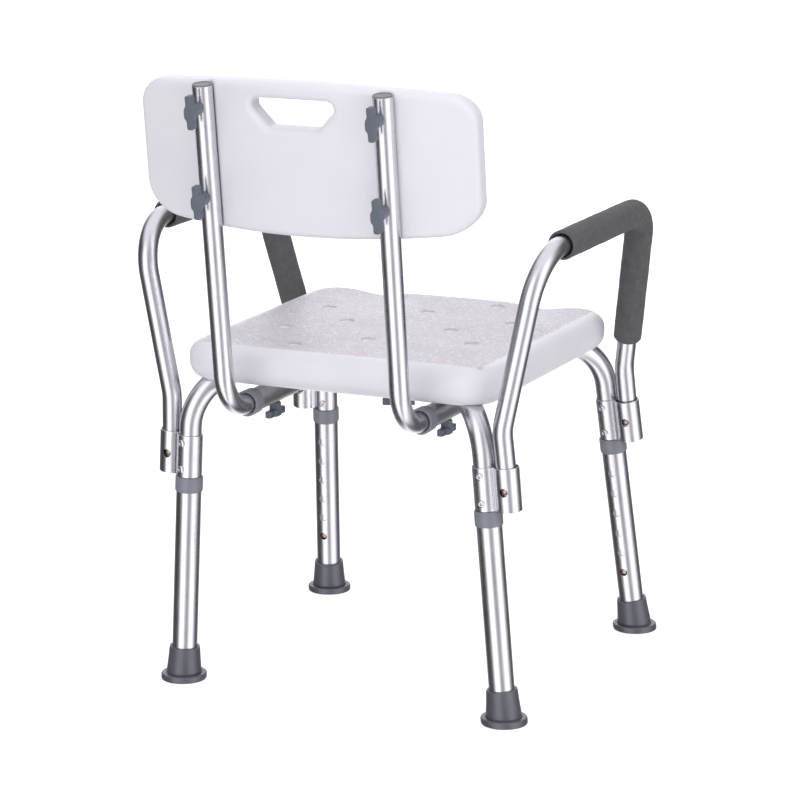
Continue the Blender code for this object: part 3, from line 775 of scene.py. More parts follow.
def run_ends(back_side):
    """Back and front corners of a frame's top run, which crosses to the other side."""
    return (at_z(*leg_axis("back", back_side), FRAME_Z),
            at_z(*leg_axis("front", OTHER_SIDE[back_side]), FRAME_Z))


def run_point(back_side, x):
    b, f = run_ends(back_side)
    return b + (f - b) * ((x - b.x) / (f.x - b.x))


def leg_frame_path(back_side, step=3.0, span=None):
    low = 60
    return fillet_path([
        at_z(*leg_axis("back", back_side), low), *run_ends(back_side),
        at_z(*leg_axis("front", OTHER_SIDE[back_side]), low),
    ], [BEND_R * MM] * 2, step, span)


def frame_bolt(back_side):
    return run_point(back_side, SIDES[back_side] * POST_X * MM)


def flatten_crossing(bm, back_side, shift_sign):
    """Squash the top run where the two frames cross, one above the other."""
    crossing = run_point(back_side, 0)
    b, f = run_ends(back_side)
    run = (f - b).normalized()
    across = Z.cross(run)
    for vert in bm.verts:
        if vert.co.z < 0.345:
            continue
        rel = vert.co - crossing
        distance = abs(rel.dot(run)) / MM
        if distance > FLAT_REACH:
            continue
        k = smoothstep((FLAT_REACH - distance) / FLAT_FADE)
        h = vert.co.z - crossing.z
        flat = h * FLAT_HEIGHT + shift_sign * FLAT_SHIFT * MM
        vert.co.z = crossing.z + h * (1 - k) + flat * k
        vert.co += across * (rel.dot(across) * FLAT_WIDEN * k)


def build_leg_frame(node, back_side, shift_sign):
    path = leg_frame_path(back_side, 3.0, 4 * MM)
    bm = tube(path, FRAME_R * MM, FRAME_BORE * MM, 48)
    flatten_crossing(bm, back_side, shift_sign)
    crossing, bolt = run_point(back_side, 0), frame_bolt(back_side)
    cuts = [bolt_hole(crossing.x, crossing.y, 330, 390), bolt_hole(bolt.x, bolt.y, 335, 390)]
    for end, side in (("back", back_side), ("front", OTHER_SIDE[back_side])):
        p, d, _, v = clamp_frame(end, side)
        cuts.append(hole(at_z(p, d, HOLE_Z), inward_axis(end, side), 6, 20, HOLE_R))
        for offset in RIVET_OFFSETS.values():
            cuts.append(hole(rivet_centre(p, d, offset), v, 6, 20, RIVET_HOLE_R))
    add_tube(node, "tube", bm, path, Y, cuts)


build_leg_frame("leg_frame_a", "left", 1)
build_leg_frame("leg_frame_b", "right", -1)
CROSSING = run_point("right", 0)
BOLT_Y = frame_bolt("right").y

# ================================================================ seat
DRAIN_R = 4.4
DRAIN_HALF = ((64, 152), (116, 72), (65, 15), (116, -45), (64, -125))
DRAINS = [(s * x + 5.5, y + 9) for s in (1, -1) for x, y in DRAIN_HALF]
DRAINS += [(5.5, 105), (5.5, -58)]
SHAPED_FROM_Z = 375.0    # the shaping of the top fades out down to here


def seat_ring(inset, z):
    """Rounded rectangle, evenly split, from the outline moved in by inset."""
    corner_points, side_pieces = 14, 84
    half_w, back, front = SEAT_HALF_W - inset, SEAT_BACK - inset, SEAT_FRONT + inset
    r = max(SEAT_CORNER_R - inset, min(6.0, half_w * 0.5, (back - front) * 0.25))
    corners = [(half_w - r, back - r), (-half_w + r, back - r),
               (-half_w + r, front + r), (half_w - r, front + r)]
    points = []
    for i, (cx, cy) in enumerate(corners):
        for k in range(corner_points):
            a = math.radians(90 * i + 90 * k / (corner_points - 1))
            points.append((cx + r * math.cos(a), cy + r * math.sin(a)))
        nx, ny = corners[(i + 1) % 4]
        a = math.radians(90 * i + 90)
        start = (cx + r * math.cos(a), cy + r * math.sin(a))
        end = (nx + r * math.cos(a), ny + r * math.sin(a))
        for k in range(1, side_pieces):
            f = k / side_pieces
            points.append((start[0] + (end[0] - start[0]) * f, start[1] + (end[1] - start[1]) * f))
    return [mm(x, y, z) for x, y in points]


def seat_top_drop(x, y):
    """How far the top lies under its highest level, in mm."""
    # thigh dips that deepen towards the front
    fade = smoothstep((-28.0 - y) / 105.0)
    drop = 5.0 * math.exp(-((abs(x) - 104.0) / 27.0) ** 2) * fade
    # the middle of the seat lies a little lower than its rim
    across = max(0.0, 1 - (abs(x) / 172.0) ** 4)
    along = max(0.0, 1 - (abs((y - 30) / 172.0)) ** 4)
    drop += 1.3 * across * along
    # drain mouths
    for drain_x, drain_y in DRAINS:
        r = math.hypot(x - drain_x, y - drain_y)
        if r < 13:
            drop += 3.0 / (1 + (r / 7.2) ** 6)
    return drop


def seat_block():
    rings = [seat_ring(inset, SEAT_BOTTOM + rise) for inset, rise in quarter(SEAT_BOTTOM_R, 8)]
    wall = SEAT_TOP - SEAT_TOP_R - SEAT_BOTTOM - SEAT_BOTTOM_R
    rings += [seat_ring(0, SEAT_BOTTOM + SEAT_BOTTOM_R + wall * k / 3.0) for k in range(1, 4)]
    rings += [seat_ring(inset, SEAT_TOP - rise) for inset, rise in quarter(SEAT_TOP_R, 12)[-2::-1]]
    inset = SEAT_TOP_R
    while inset < 150:
        inset += 2.5
        rings.append(seat_ring(inset, SEAT_TOP))
    bm = ring_mesh(rings)
    for v in bm.verts:
        if v.co.z > SHAPED_FROM_Z * MM:
            k = min(1.0, (v.co.z / MM - SHAPED_FROM_Z) / (SEAT_TOP - SHAPED_FROM_Z))
            v.co.z -= seat_top_drop(v.co.x / MM, v.co.y / MM) * MM * k
    # the one big face in the middle of the top is no longer flat
    middle = [f for f in bm.faces if len(f.verts) > 4 and f.calc_center_median().z > 0.385]
    bmesh.ops.triangulate(bm, faces=middle)
    return bm


def seat_channel_cuts():
    """Channels under the seat that the leg frames lie in."""
    cuts = []
    half_w, floor_z = 14.0 * MM, 0.318
    for back_side, clearance in (("left", 0.25), ("right", 0.55)):
        upper = [(p, t) for p, t in leg_frame_path(back_side, 6.0) if p.z > 0.325]
        cuts.append(ring_mesh([circle(p, u, v, 13.7 * MM, 24) for p, t, u, v in carried(upper)]))
        b, f = run_ends(back_side)
        across = Z.cross((f - b).normalized())
        line = [p + Z * (clearance * MM) for p, t in upper]
        feet = [V((p.x, p.y, floor_z)) for p in (line[-1], line[0])]
        cuts.append(prism([p - across * half_w for p in line + feet], across, 2 * half_w))
    return cuts


def seat_crossing_cuts():
    """Boxes over the crossing, sized a little apart so no faces coincide."""
    cuts = []
    for k, back_side in enumerate(("left", "right")):
        b, f = run_ends(back_side)
        run = (f - b).normalized()
        across = Z.cross(run)
        c = V((CROSSING.x, CROSSING.y, 0.341 + k * 0.0006))
        box = [c + run * (sx * 66 * MM) + across * (sy * (15.4 + 0.2 * k) * MM)
               for sx, sy in ((-1, -1), (1, -1), (1, 1), (-1, 1))]
        cuts.append(prism(box, Z, 0.3760 - c.z + k * 0.0002))
    return cuts


def mark_drains(seat):
    """Attribute for the shade in the drains: half for the mouth, half for the bore."""
    co = np.empty(len(seat.data.vertices) * 3, dtype=np.float32)
    seat.data.vertices.foreach_get("co", co)
    co = co.reshape(-1, 3) / MM
    near = np.full(len(co), 99.0, dtype=np.float32)
    for x, y in DRAINS:
        near = np.minimum(near, np.hypot(co[:, 0] - x, co[:, 1] - y))
    mouth, bore = np.clip((9.4 - near) / 2.6, 0, 1), np.clip((6.0 - near) / 1.6, 0, 1)
    shade = (0.5 * mouth + 0.5 * bore) * (co[:, 2] > 380)
    attribute = seat.data.attributes.new("drain", "FLOAT", "POINT")
    attribute.data.foreach_set("value", shade.astype(np.float32))


def build_seat():
    seat = new_object("seat_moulding", seat_block(), SEAT_WHITE)
    boolean(seat, seat_channel_cuts() + seat_crossing_cuts())
    bore = [(DRAIN_R * MM, 0.345), (DRAIN_R * MM, 0.405)]
    boolean(seat, [lathe(mm(x, y, 0), Z, bore, 24, X) for x, y in DRAINS])
    soften(seat, 1.7 * MM, 4)
    mark_drains(seat)
    place(seat, "seat")


build_seat()

# ================================================================ backrest panel
TILT = math.atan(POST_SLOPE)
POST_UP = V((0, math.sin(TILT), math.cos(TILT)))
REAR = V((0, math.cos(TILT), -math.sin(TILT)))

PANEL_HALF_W, PANEL_HALF_H = 198.5, 84.7
PANEL_TOP_R, PANEL_LOW_R = 30.0, 41.0      # corners of the outline
PANEL_FRONT_R, PANEL_REAR_R = 11, 7        # edges of the front and rear faces
# hand slot corners: x, height, radius, start and end angle
SLOT_CORNERS = [
    (42.3, 58.4, 8, 90, -36), (28.3, 40.6, 6, -36, -90),
    (-23.7, 40.6, 6, -90, -144), (-37.7, 58.4, 8, -144, -270),
]
MOUTH_REAR_R, MOUTH_FRONT_R = 6.5, 9.5     # how widely the slot opens at each face


def post_line(z):
    """Point on the tilted plane of the post axes, at the middle."""
    return mm(0, 272.2 + POST_SLOPE * (z - 464.5), z)


def post_point(s, z):
    return post_line(z) + X * (s * POST_X * MM)


def arc_outline(corners, count, grow, depth):
    """Outline in the panel's plane from (x, height, radius, angles) corners."""
    points = []
    for cx, cz, r, first, last in corners:
        for k in range(count):
            a = math.radians(first + (last - first) * k / (count - 1))
            x, z = cx + (r + grow) * math.cos(a), cz + (r + grow) * math.sin(a)
            points.append(V((x, depth, z)) * MM)
    return points


def panel_block():
    x1, z1 = PANEL_HALF_W - PANEL_TOP_R, PANEL_HALF_H - PANEL_TOP_R
    x2, z2 = PANEL_HALF_W - PANEL_LOW_R, PANEL_HALF_H - PANEL_LOW_R
    corners = [(x1, z1, PANEL_TOP_R, 0, 90), (-x1, z1, PANEL_TOP_R, 90, 180),
               (-x2, -z2, PANEL_LOW_R, 180, 270), (x2, -z2, PANEL_LOW_R, 270, 360)]
    rings = [arc_outline(corners, 15, -inset, -PANEL_DEPTH + rise)
             for inset, rise in quarter(PANEL_FRONT_R, 8)]
    rings += [arc_outline(corners, 15, -inset, -rise)
              for inset, rise in reversed(quarter(PANEL_REAR_R, 6))]
    return ring_mesh(rings)


def slot_mouth(radius):
    """(growth, depth) steps from the face into the slot."""
    widest = 84
    angles = [math.radians(widest - widest * k / 8) for k in range(9)]
    full = math.sin(math.radians(widest))
    return [(radius * (1 - math.cos(a)), radius * (full - math.sin(a))) for a in angles]


def slot_cutter():
    rear, front = slot_mouth(MOUTH_REAR_R), slot_mouth(MOUTH_FRONT_R)
    stations = [(rear[0][0] + 6.0, 4.0)]
    stations += [(grow, -depth + 0.02) for grow, depth in rear]
    stations += [(grow, -PANEL_DEPTH + depth - 0.02) for grow, depth in reversed(front)]
    stations += [(front[0][0] + 6.0, -32.0)]
    return ring_mesh([arc_outline(SLOT_CORNERS, 10, grow, depth) for grow, depth in stations])


def bow(v):
    """Bend the flat panel: ends forward, lower and upper edges curved, and lean it back."""
    x, depth, h = v.x / MM, v.y / MM, v.z / MM
    if h < 0:
        h += 9.0 * (x / 150) ** 2 * (-h / 84.0)
    else:
        h -= 5.0 * (x / 165) ** 2 * (h / 84.0)
    h -= 2.0 * (x / 196) ** 2
    forward = Y * (28.0 * (x / 196) ** 2 * MM)
    upward, rearward = POST_UP * (h * MM), REAR * ((depth + 1.0) * MM)
    return post_line(PANEL_Z) + X * (x * MM) + upward + rearward - forward


def bend_panel(ob):
    bm = bmesh.new()
    bm.from_mesh(ob.data)
    # slices across the width and the height, so the faces can follow the bend
    for normal, count, pitch in ((X, 39, 5.0), (Z, 8, 9.5)):
        for k in range(-count, count + 1):
            geometry = bm.verts[:] + bm.edges[:] + bm.faces[:]
            bmesh.ops.bisect_plane(bm, geom=geometry, plane_co=normal * (k * pitch * MM),
                                   plane_no=normal, dist=1e-6)
    for v in bm.verts:
        v.co = bow(v.co)
    bmesh.ops.triangulate(bm, faces=[f for f in bm.faces if len(f.verts) > 4])
    bm.to_mesh(ob.data)
    bm.free()


def build_panel():
    ob = new_object("backrest_moulding", panel_block(), PANEL_WHITE)
    boolean(ob, [slot_cutter()])
    bend_panel(ob)
    cuts = []
    for s in SIDES.values():
        cuts.append(rod(post_point(s, 520), post_point(s, 760), 12.2 * MM, 48, X))
        for z in KNOB_Z.values():
            cuts.append(hole(post_point(s, z), REAR, 2, -29, 3.6))
    boolean(ob, cuts)
    soften(ob, 1.5 * MM, 5)
    place(ob, "backrest_panel")


build_panel()

# ================================================================ knobs
# one half of the S-shaped wing, clockwise; the other half is this turned by 180 degrees
WING_HALF = [
    (2.6, 18.6), (3.6, 16.8), (3.5, 8.8), (6.4, 6.4),
    (6.4, -3.8), (3.6, -7.6), (4.2, -16.8), (3.1, -18.6),
]
WING_EDGE_R = 1.3
KNOB_GAP, HUB_R, SCREW_R = 0.3, 6.6, 3.0


def smooth_outline(outline):
    """Cut the corners three times over."""
    for _ in range(3):
        out = []
        for (ax, ay), (bx, by) in zip(outline, outline[1:] + outline[:1]):
            out.append((ax * 0.78 + bx * 0.22, ay * 0.78 + by * 0.22))
            out.append((ax * 0.22 + bx * 0.78, ay * 0.22 + by * 0.78))
        outline = out
    return outline


WING = smooth_outline(WING_HALF + [(-a, -b) for a, b in WING_HALF])


def add_knob(node, base, axis, up, screw, hub=12.8, plate=10.0):
    """Wing on a round hub, with its screw; screw, hub and plate are lengths along the axis."""
    w = axis.normalized()
    q = (up - w * up.dot(w)).normalized()
    p = q.cross(w)

    def wing_ring(inset, height):
        points = []
        for i, (a, b) in enumerate(WING):
            (ax, ay), (bx, by) = WING[i - 1], WING[(i + 1) % len(WING)]
            tx, ty = bx - ax, by - ay
            length = math.hypot(tx, ty)
            a += ty / length * inset
            b -= tx / length * inset
            points.append(base + p * (a * MM) + q * (b * MM) + w * (height * MM))
        return points

    wing_low = KNOB_GAP + hub
    edge = quarter(WING_EDGE_R, 4)
    rings = [wing_ring(inset, wing_low + rise) for inset, rise in edge]
    rings += [wing_ring(inset, wing_low + plate - rise) for inset, rise in reversed(edge)]
    body = new_object(node + "_wing", ring_mesh(rings), KNOB_SLATE, angle=50)
    profile = [
        (2.2, -screw), (SCREW_R, -screw + 0.8), (SCREW_R, KNOB_GAP),
        (HUB_R - 0.6, KNOB_GAP), (HUB_R, KNOB_GAP + 0.6), (HUB_R, wing_low + 3.0),
    ]
    shaft = lathe(base, w, [(r * MM, h * MM) for r, h in profile], 40, q)
    boolean(body, [shaft], "UNION", angle=50)
    weighted = body.modifiers.new("wn", "WEIGHTED_NORMAL")
    weighted.keep_sharp = True
    weighted.weight = 60
    place(body, node)


# ================================================================ posts and receivers
RECEIVER_BACK = 211.0    # y of the collar's rear face

# turned profiles: radius, height, corner radius
POST_PLUG = [
    (9.3, -8, 0), (9.6, -7, 0.3), (9.6, 0.3, 0), (10.8, 0.3, 0), (10.8, 1.1, 0.4),
    (9.9, 1.6, 0.3), (9.1, 1.5, 0.3), (8.6, 0.9, 0.3), (0.01, 0.9, 0),
]
RECEIVER_BUSH = [
    (14.6, -17.5, 0.3), (14.75, -0.8, 0.6), (14.3, 0.0, 0.6), (11.9, 0.0, 0.7),
    (11.9, -2.0, 0), (12.85, -2.0, 0), (12.85, -17.5, 0.2),
]


def build_post(side):
    s = SIDES[side]
    x = s * POST_X
    top = post_point(s, POST_TOP)
    path = fillet_path([mm(x, 114.0, POST_Z), post_point(s, POST_Z), top], [50 * MM])
    # open-ended slot for the receiver bolt, pointed at its rear end
    front, rear, half_w = 111.0, BOLT_Y / MM + 4.2, 3.7
    slot = [mm(x - half_w, front, 300), mm(x + half_w, front, 300),
            mm(x + half_w, rear - 2, 300), mm(x, rear, 300), mm(x - half_w, rear - 2, 300)]
    cuts = [prism(slot, Z, 60 * MM)]
    cuts += [hole(post_point(s, z), REAR, -16, 16, BOLT_R) for z in KNOB_Z.values()]
    add_tube("backrest_post_" + side, "tube",
             tube(path, POST_R * MM, POST_BORE * MM, 56, X), path, X, cuts)
    # inset plug: thin rim on the tube, dished middle
    add_piece("post_cap_" + side, "plug", turned(top, POST_UP, POST_PLUG, 56), CAP_GREY)


def build_receiver(side):
    """Tube under the seat that holds the post, and the bush on its rear end."""
    x = SIDES[side] * POST_X
    a, b = mm(x, 96, POST_Z), mm(x, RECEIVER_BACK - 2.3, POST_Z)
    path = [(a, Y), (a.lerp(b, 0.5), Y), (b, Y)]
    add_tube("receiver_tube_" + side, "sleeve",
             tube(path, FRAME_R * MM, FRAME_BORE * MM, 56, X), path, X,
             [bolt_hole(x * MM, BOLT_Y, 310, 355)], RECEIVER_METAL)
    bush = turned(mm(x, RECEIVER_BACK, POST_Z), Y, RECEIVER_BUSH, 56, closed=True)
    add_piece("receiver_collar_" + side, "bush", bush, COLLAR_GREY)


for side, s in SIDES.items():
    build_post(side)
    build_receiver(side)
    for level, z in KNOB_Z.items():
        add_knob("backrest_knob_%s_%s" % (level, side), post_point(s, z) + REAR * (POST_R * MM),
                 REAR, POST_UP, screw=POST_R + PANEL_DEPTH - 1.2)
    under = V((s * POST_X * MM, BOLT_Y, (POST_Z - FRAME_R) * MM))
    add_knob("receiver_knob_" + side, under, -Z, Y, screw=64.8, hub=8.0, plate=8.0)
add_knob("centre_knob", V((CROSSING.x, CROSSING.y, (FRAME_Z - 12.9) * MM)), -Z,
         V((0.907, 0.42, 0)), screw=38.0, hub=33.9, plate=8.0)

# ================================================================ clamps, legs and feet
LEG_BARREL_R, ARM_BARREL_R, SADDLE_HALF = 14.3, 14.1, 8.0

# turned profiles: radius, height, corner radius
RIVET_HEAD = [
    (2.1, 10.4, 0), (2.1, 14.5, 0), (4.3, 14.45, 0.2), (4.25, 15.0, 0.3), (3.5, 16.0, 0.8),
    (2.3, 16.5, 0.5), (1.45, 16.2, 0.4), (1.3, 13.2, 0.2), (0.01, 13.0, 0),
]
LEG_COLLAR = [
    (15.4, -17.5, 0.4), (15.75, -16.0, 0.8), (15.75, -1.6, 0.9), (15.0, 0.0, 0.6),
    (13.05, 0.0, 0.4), (13.05, -1.9, 0), (14.5, -1.9, 0), (14.5, -17.5, 0.2),
]
FOOT = [
    (0.01, 0.0, 0), (23.8, 0.0, 0.6), (25.6, 0.7, 0.6), (26.1, 2.0, 0.6), (26.1, 6.9, 0.8),
    (25.3, 8.0, 0.8), (20.9, 8.3, 0.3), (19.9, 7.7, 0.3), (20.1, 9.6, 0.4), (19.8, 13.0, 2),
    (18.8, 22.0, 4), (17.6, 37.0, 2), (17.3, 39.4, 0.6), (16.6, 40.0, 0.4),
    (14.55, 40.0, 0.3), (14.55, 9.2, 0), (0.01, 9.2, 0),
]
LEG_BUTTON = [
    (0.01, 4.2, 0), (5.4, 4.2, 0.3), (5.4, 5.7, 0.3), (4.0, 5.7, 0.2), (4.0, 11.0, 0.6),
    (3.2, 12.2, 0.9), (1.4, 12.6, 0.5), (0.01, 12.6, 0),
]
ARM_BUTTON = [
    (0.01, 2.2, 0), (4.8, 2.2, 0.3), (4.8, 3.7, 0.3), (3.5, 3.7, 0.2), (3.5, 9.6, 0.6),
    (2.8, 10.6, 0.8), (1.2, 11.0, 0.5), (0.01, 11.0, 0),
]


def arm_axes(side):
    """Direction of the armrest ends, and the rearward axis square to it."""
    lean_y = (LEGS["back"]["lean_y"] + LEGS["front"]["lean_y"]) / 2
    d = V((-SIDES[side] * LEG_LEAN_X, lean_y, 1.0)).normalized()
    return d, (Y - d * Y.dot(d)).normalized()


def arm_socket(end, side):
    p, d, u, _ = clamp_frame(end, side)
    return at_z(p, d, ARM_SOCKET_Z) + u * (ARM_OFFSET * MM)


def arm_button_centre(end, side):
    return arm_socket(end, side) - arm_axes(side)[0] * (5 * MM)


def clamp_outline(grow):
    """Leg barrel, armrest barrel and the flat saddle between them with thin ribs."""
    leg_r, arm_r, half = LEG_BARREL_R + grow, ARM_BARREL_R + grow, SADDLE_HALF + grow
    a0, b0 = math.asin(half / leg_r), math.asin(half / arm_r)
    points = []
    for k in range(41):
        a = a0 + (2 * math.pi - 2 * a0) * k / 40
        points.append((leg_r * math.cos(a), leg_r * math.sin(a)))
    start, end = leg_r * math.cos(a0), ARM_OFFSET - arm_r * math.cos(b0)
    ribs = []
    for f in (0.22, 0.78):
        x = start + (end - start) * f
        ribs += [(x - 0.75, -half), (x - 0.45, -half - 0.75),
                 (x + 0.45, -half - 0.75), (x + 0.75, -half)]
    points += ribs
    for k in range(41):
        a = -math.pi + b0 + (2 * math.pi - 2 * b0) * k / 40
        points.append((ARM_OFFSET + arm_r * math.cos(a), arm_r * math.sin(a)))
    return points + [(a, -b) for a, b in reversed(ribs)]


def build_clamp(end, side):
    tag = end + "_" + side
    p, d, u, v = clamp_frame(end, side)
    centre = at_z(p, d, CLAMP_Z)
    half, edge = CLAMP_H / 2, 0.35
    rings = [[centre + u * (a * MM) + v * (b * MM) + d * (z * MM) for a, b in clamp_outline(grow)]
             for z, grow in ((-half, -edge), (-half + edge, 0.0), (half - edge, 0.0), (half, -edge))]
    body = new_object("clamp_%s_extrusion" % tag, ring_mesh(rings), CLAMP_METAL, angle=30)
    low, high = centre - d * (half * MM), centre + d * (half * MM)
    to_arm = u * (ARM_OFFSET * MM)
    cuts = [
        rod(low - d * 0.005, high + d * 0.005, 13.0 * MM, 56, u),
        rod(low + to_arm - d * 0.005, high + to_arm + d * 0.005, 12.75 * MM, 56, u),
        hole(arm_button_centre(end, side), arm_axes(side)[1], 8, 20, 4.9, 32),
    ]
    cuts += [hole(rivet_centre(p, d, offset), v, 9, 20, RIVET_HOLE_R)
             for offset in RIVET_OFFSETS.values()]
    boolean(body, cuts, angle=30)
    place(body, "clamp_" + tag)
    for level, offset in RIVET_OFFSETS.items():
        head = turned(rivet_centre(p, d, offset), v, RIVET_HEAD, 32)
        add_piece("clamp_rivet_%s_%s" % (level, tag), "head", head, STEEL)


def build_lower_leg(end, side):
    """Outer leg tube with its row of button holes, and the collar on top."""
    tag = end + "_" + side
    p, d = leg_axis(end, side)
    bottom, top = at_z(p, d, LEG_BOTTOM), at_z(p, d, LEG_TOP)
    path = [(bottom.lerp(top, k / 8), d) for k in range(9)]
    first, inward = at_z(p, d, HOLE_Z), inward_axis(end, side)
    cuts = [hole(first + d * (k * HOLE_PITCH * MM), inward, 8, 20, HOLE_R, 32) for k in range(6)]
    add_tube("lower_leg_" + tag, "tube", tube(path, LEG_R * MM, LEG_BORE * MM, 64), path, Y, cuts)
    collar_top = at_z(p, d, CLAMP_Z) - d * (CLAMP_H / 2 * MM) - d * (0.4 * MM)
    add_piece("leg_collar_" + tag, "ring",
              turned(collar_top, d, LEG_COLLAR, 64, Y, closed=True), COLLAR_GREY)


def build_foot(end, side):
    """Rubber foot: round disc on the floor that leans over into the leg's own line."""
    tag = end + "_" + side
    p, d = leg_axis(end, side)
    rings = []
    for r, h in rounded(FOOT, 3):
        lean = 1.0
        if r > 14.6 or h > 20:
            lean = min(1.0, max(0.0, (h - 8.4) / 6.0))
        u, v = frame_for((Z * (1 - lean) + d * lean).normalized(), X)
        rings.append(circle(at_z(p, d, 0) + (d / d.z) * (h * MM), u, v, r * MM, 64))
    foot = new_object("foot_%s_ferrule" % tag, ring_mesh(rings), RUBBER, angle=55)
    for face in foot.data.polygons:
        if abs(face.normal.z) > 0.99:
            face.use_smooth = False
    place(foot, "foot_" + tag)


def build_buttons(end, side):
    """Snap buttons of the leg and of the armrest end."""
    tag = end + "_" + side
    leg = turned(at_z(*leg_axis(end, side), HOLE_Z), inward_axis(end, side), LEG_BUTTON, 32,
                 arc_steps=3)
    add_piece("leg_button_" + tag, "pin", leg, COPPER)
    arm = turned(arm_button_centre(end, side), arm_axes(side)[1], ARM_BUTTON, 32, arc_steps=3)
    add_piece("arm_button_" + tag, "pin", arm, COPPER)


# ================================================================ armrests
FOAM_BACK_Y, FOAM_LOW_Z = 148.0, 370.0
FOAM_R, FOAM_MAX_R, FOAM_BORE = 16.2, 16.35, 11.75
FOAM_SIDES = 72


def arm_corners(side):
    """Back knee, back top, front top and front knee of the loop."""
    d, _ = arm_axes(side)
    back_x, front_x = ARM_TOP_X[side]
    return (arm_socket("back", side) + d * (62 * MM), mm(back_x, ARM_BACK_Y, ARM_BACK_Z),
            mm(front_x, ARM_FRONT_Y, ARM_FRONT_Z), arm_socket("front", side) + d * (60 * MM))


def build_armrest(side):
    d, rearward = arm_axes(side)
    back_end, front_end = (arm_socket(end, side) - d * (21 * MM) for end in ("back", "front"))
    radii = [60 * MM, 58 * MM, ARM_FRONT_BEND * MM, 60 * MM]
    path = fillet_path([back_end, *arm_corners(side), front_end], radii)
    cuts = [hole(arm_button_centre(end, side), rearward, 6, 16, 3.9, 32)
            for end in ("back", "front")]
    add_tube("armrest_tube_" + side, "loop",
             tube(path, POST_R * MM, POST_BORE * MM, 56, X), path, X, cuts)


def build_foam(side):
    """Sleeve over the front bend, wrinkled on the inside of the curve."""
    _, back_top, front_top, front_knee = arm_corners(side)
    run = (front_top - back_top).normalized()
    down = (front_knee - front_top).normalized()
    start = back_top + run * ((ARM_BACK_Y - FOAM_BACK_Y) * MM)
    end = front_top + down * ((ARM_FRONT_Z - FOAM_LOW_Z) * MM / -down.z)
    path = fillet_path([start, front_top, end], [ARM_FRONT_BEND * MM], 2.0, 2.4 * MM)
    frames = carried(path, X)
    along = [0.0]
    for (a, *_), (b, *_) in zip(frames, frames[1:]):
        along.append(along[-1] + (b - a).length / MM)
    inside = (down - run).normalized()
    turn = run.angle(down)
    tangent = ARM_FRONT_BEND * math.tan(turn / 2)
    mid_bend = (front_top - start).length / MM - tangent + ARM_FRONT_BEND * turn / 2
    outer, inner = [], []
    for (p, _, u, v), l in zip(frames, along):
        # rounded outer edge and flared bore at both ends
        to_end = min(l, along[-1] - l)
        outer_r = FOAM_R - (1.6 * (1 - min(1.0, to_end / 2.2)) ** 2)
        bore_r = FOAM_BORE + 1.9 * max(0.0, 1 - to_end / 7.0) ** 1.5
        near_bend = math.exp(-((l - mid_bend - 10.0) / 17.0) ** 2)
        outer_ring, inner_ring = [], []
        for i in range(FOAM_SIDES):
            a = 2 * math.pi * i / FOAM_SIDES
            radial = u * math.cos(a) + v * math.sin(a)
            facing = max(0.0, radial.dot(inside))
            wave = 0.55 * math.sin(l * 1.05 + 0.8 * math.sin(3 * a))
            wave += 0.3 * math.sin(l * 1.9 + 1.3)
            r = outer_r - near_bend * facing ** 2 * (0.55 + 0.75 * wave) * 0.9
            # slight overall unevenness
            r += (0.12 * math.sin(0.11 * l + 2 * a)
                  + 0.07 * math.sin(0.31 * l + 5 * a + SIDES[side]))
            outer_ring.append(p + radial * (min(r, FOAM_MAX_R) * MM))
            inner_ring.append(p + radial * (bore_r * MM))
        outer.append(outer_ring)
        inner.append(inner_ring)
    bm = ring_mesh(outer + inner[::-1], closed=True)
    ob = new_object("foam_grip_%s_sleeve" % side, bm, FOAM, angle=60)
    tube_coords(ob, path, X)
    place(ob, "foam_grip_" + side)


for side in SIDES:
    for end in ("back", "front"):
        build_clamp(end, side)
        build_lower_leg(end, side)
        build_foot(end, side)
        build_buttons(end, side)
    build_armrest(side)
    build_foam(side)

# ================================================================ camera
AZIMUTH, ELEVATION, ROLL = (math.radians(a) for a in (204.87, 13.35, -0.3))
CAMERA_DISTANCE, CAMERA_TARGET = 4.04177, V((0.01505, 0, 0.30278))    # metres

# TO_CAMERA points from the stool to the camera; CAMERA_RIGHT is level
TO_CAMERA = V((math.sin(AZIMUTH) * math.cos(ELEVATION),
               -math.cos(AZIMUTH) * math.cos(ELEVATION), math.sin(ELEVATION)))
CAMERA_RIGHT = V((math.cos(AZIMUTH), math.sin(AZIMUTH), 0))


def build_camera():
    up = CAMERA_RIGHT.cross(-TO_CAMERA)
    x_axis = CAMERA_RIGHT * math.cos(ROLL) + up * math.sin(ROLL)
    y_axis = -CAMERA_RIGHT * math.sin(ROLL) + up * math.cos(ROLL)
    location = ORIGIN + CAMERA_TARGET + TO_CAMERA * CAMERA_DISTANCE
    camera = bpy.data.objects.new("camera", bpy.data.cameras.new("camera"))
    bpy.context.scene.collection.objects.link(camera)
    camera.data.lens, camera.data.sensor_width = 157.45, 36.0
    rows = zip(x_axis, y_axis, TO_CAMERA, location)
    camera.matrix_world = Matrix((*rows, (0, 0, 0, 1)))
    bpy.context.scene.camera = camera


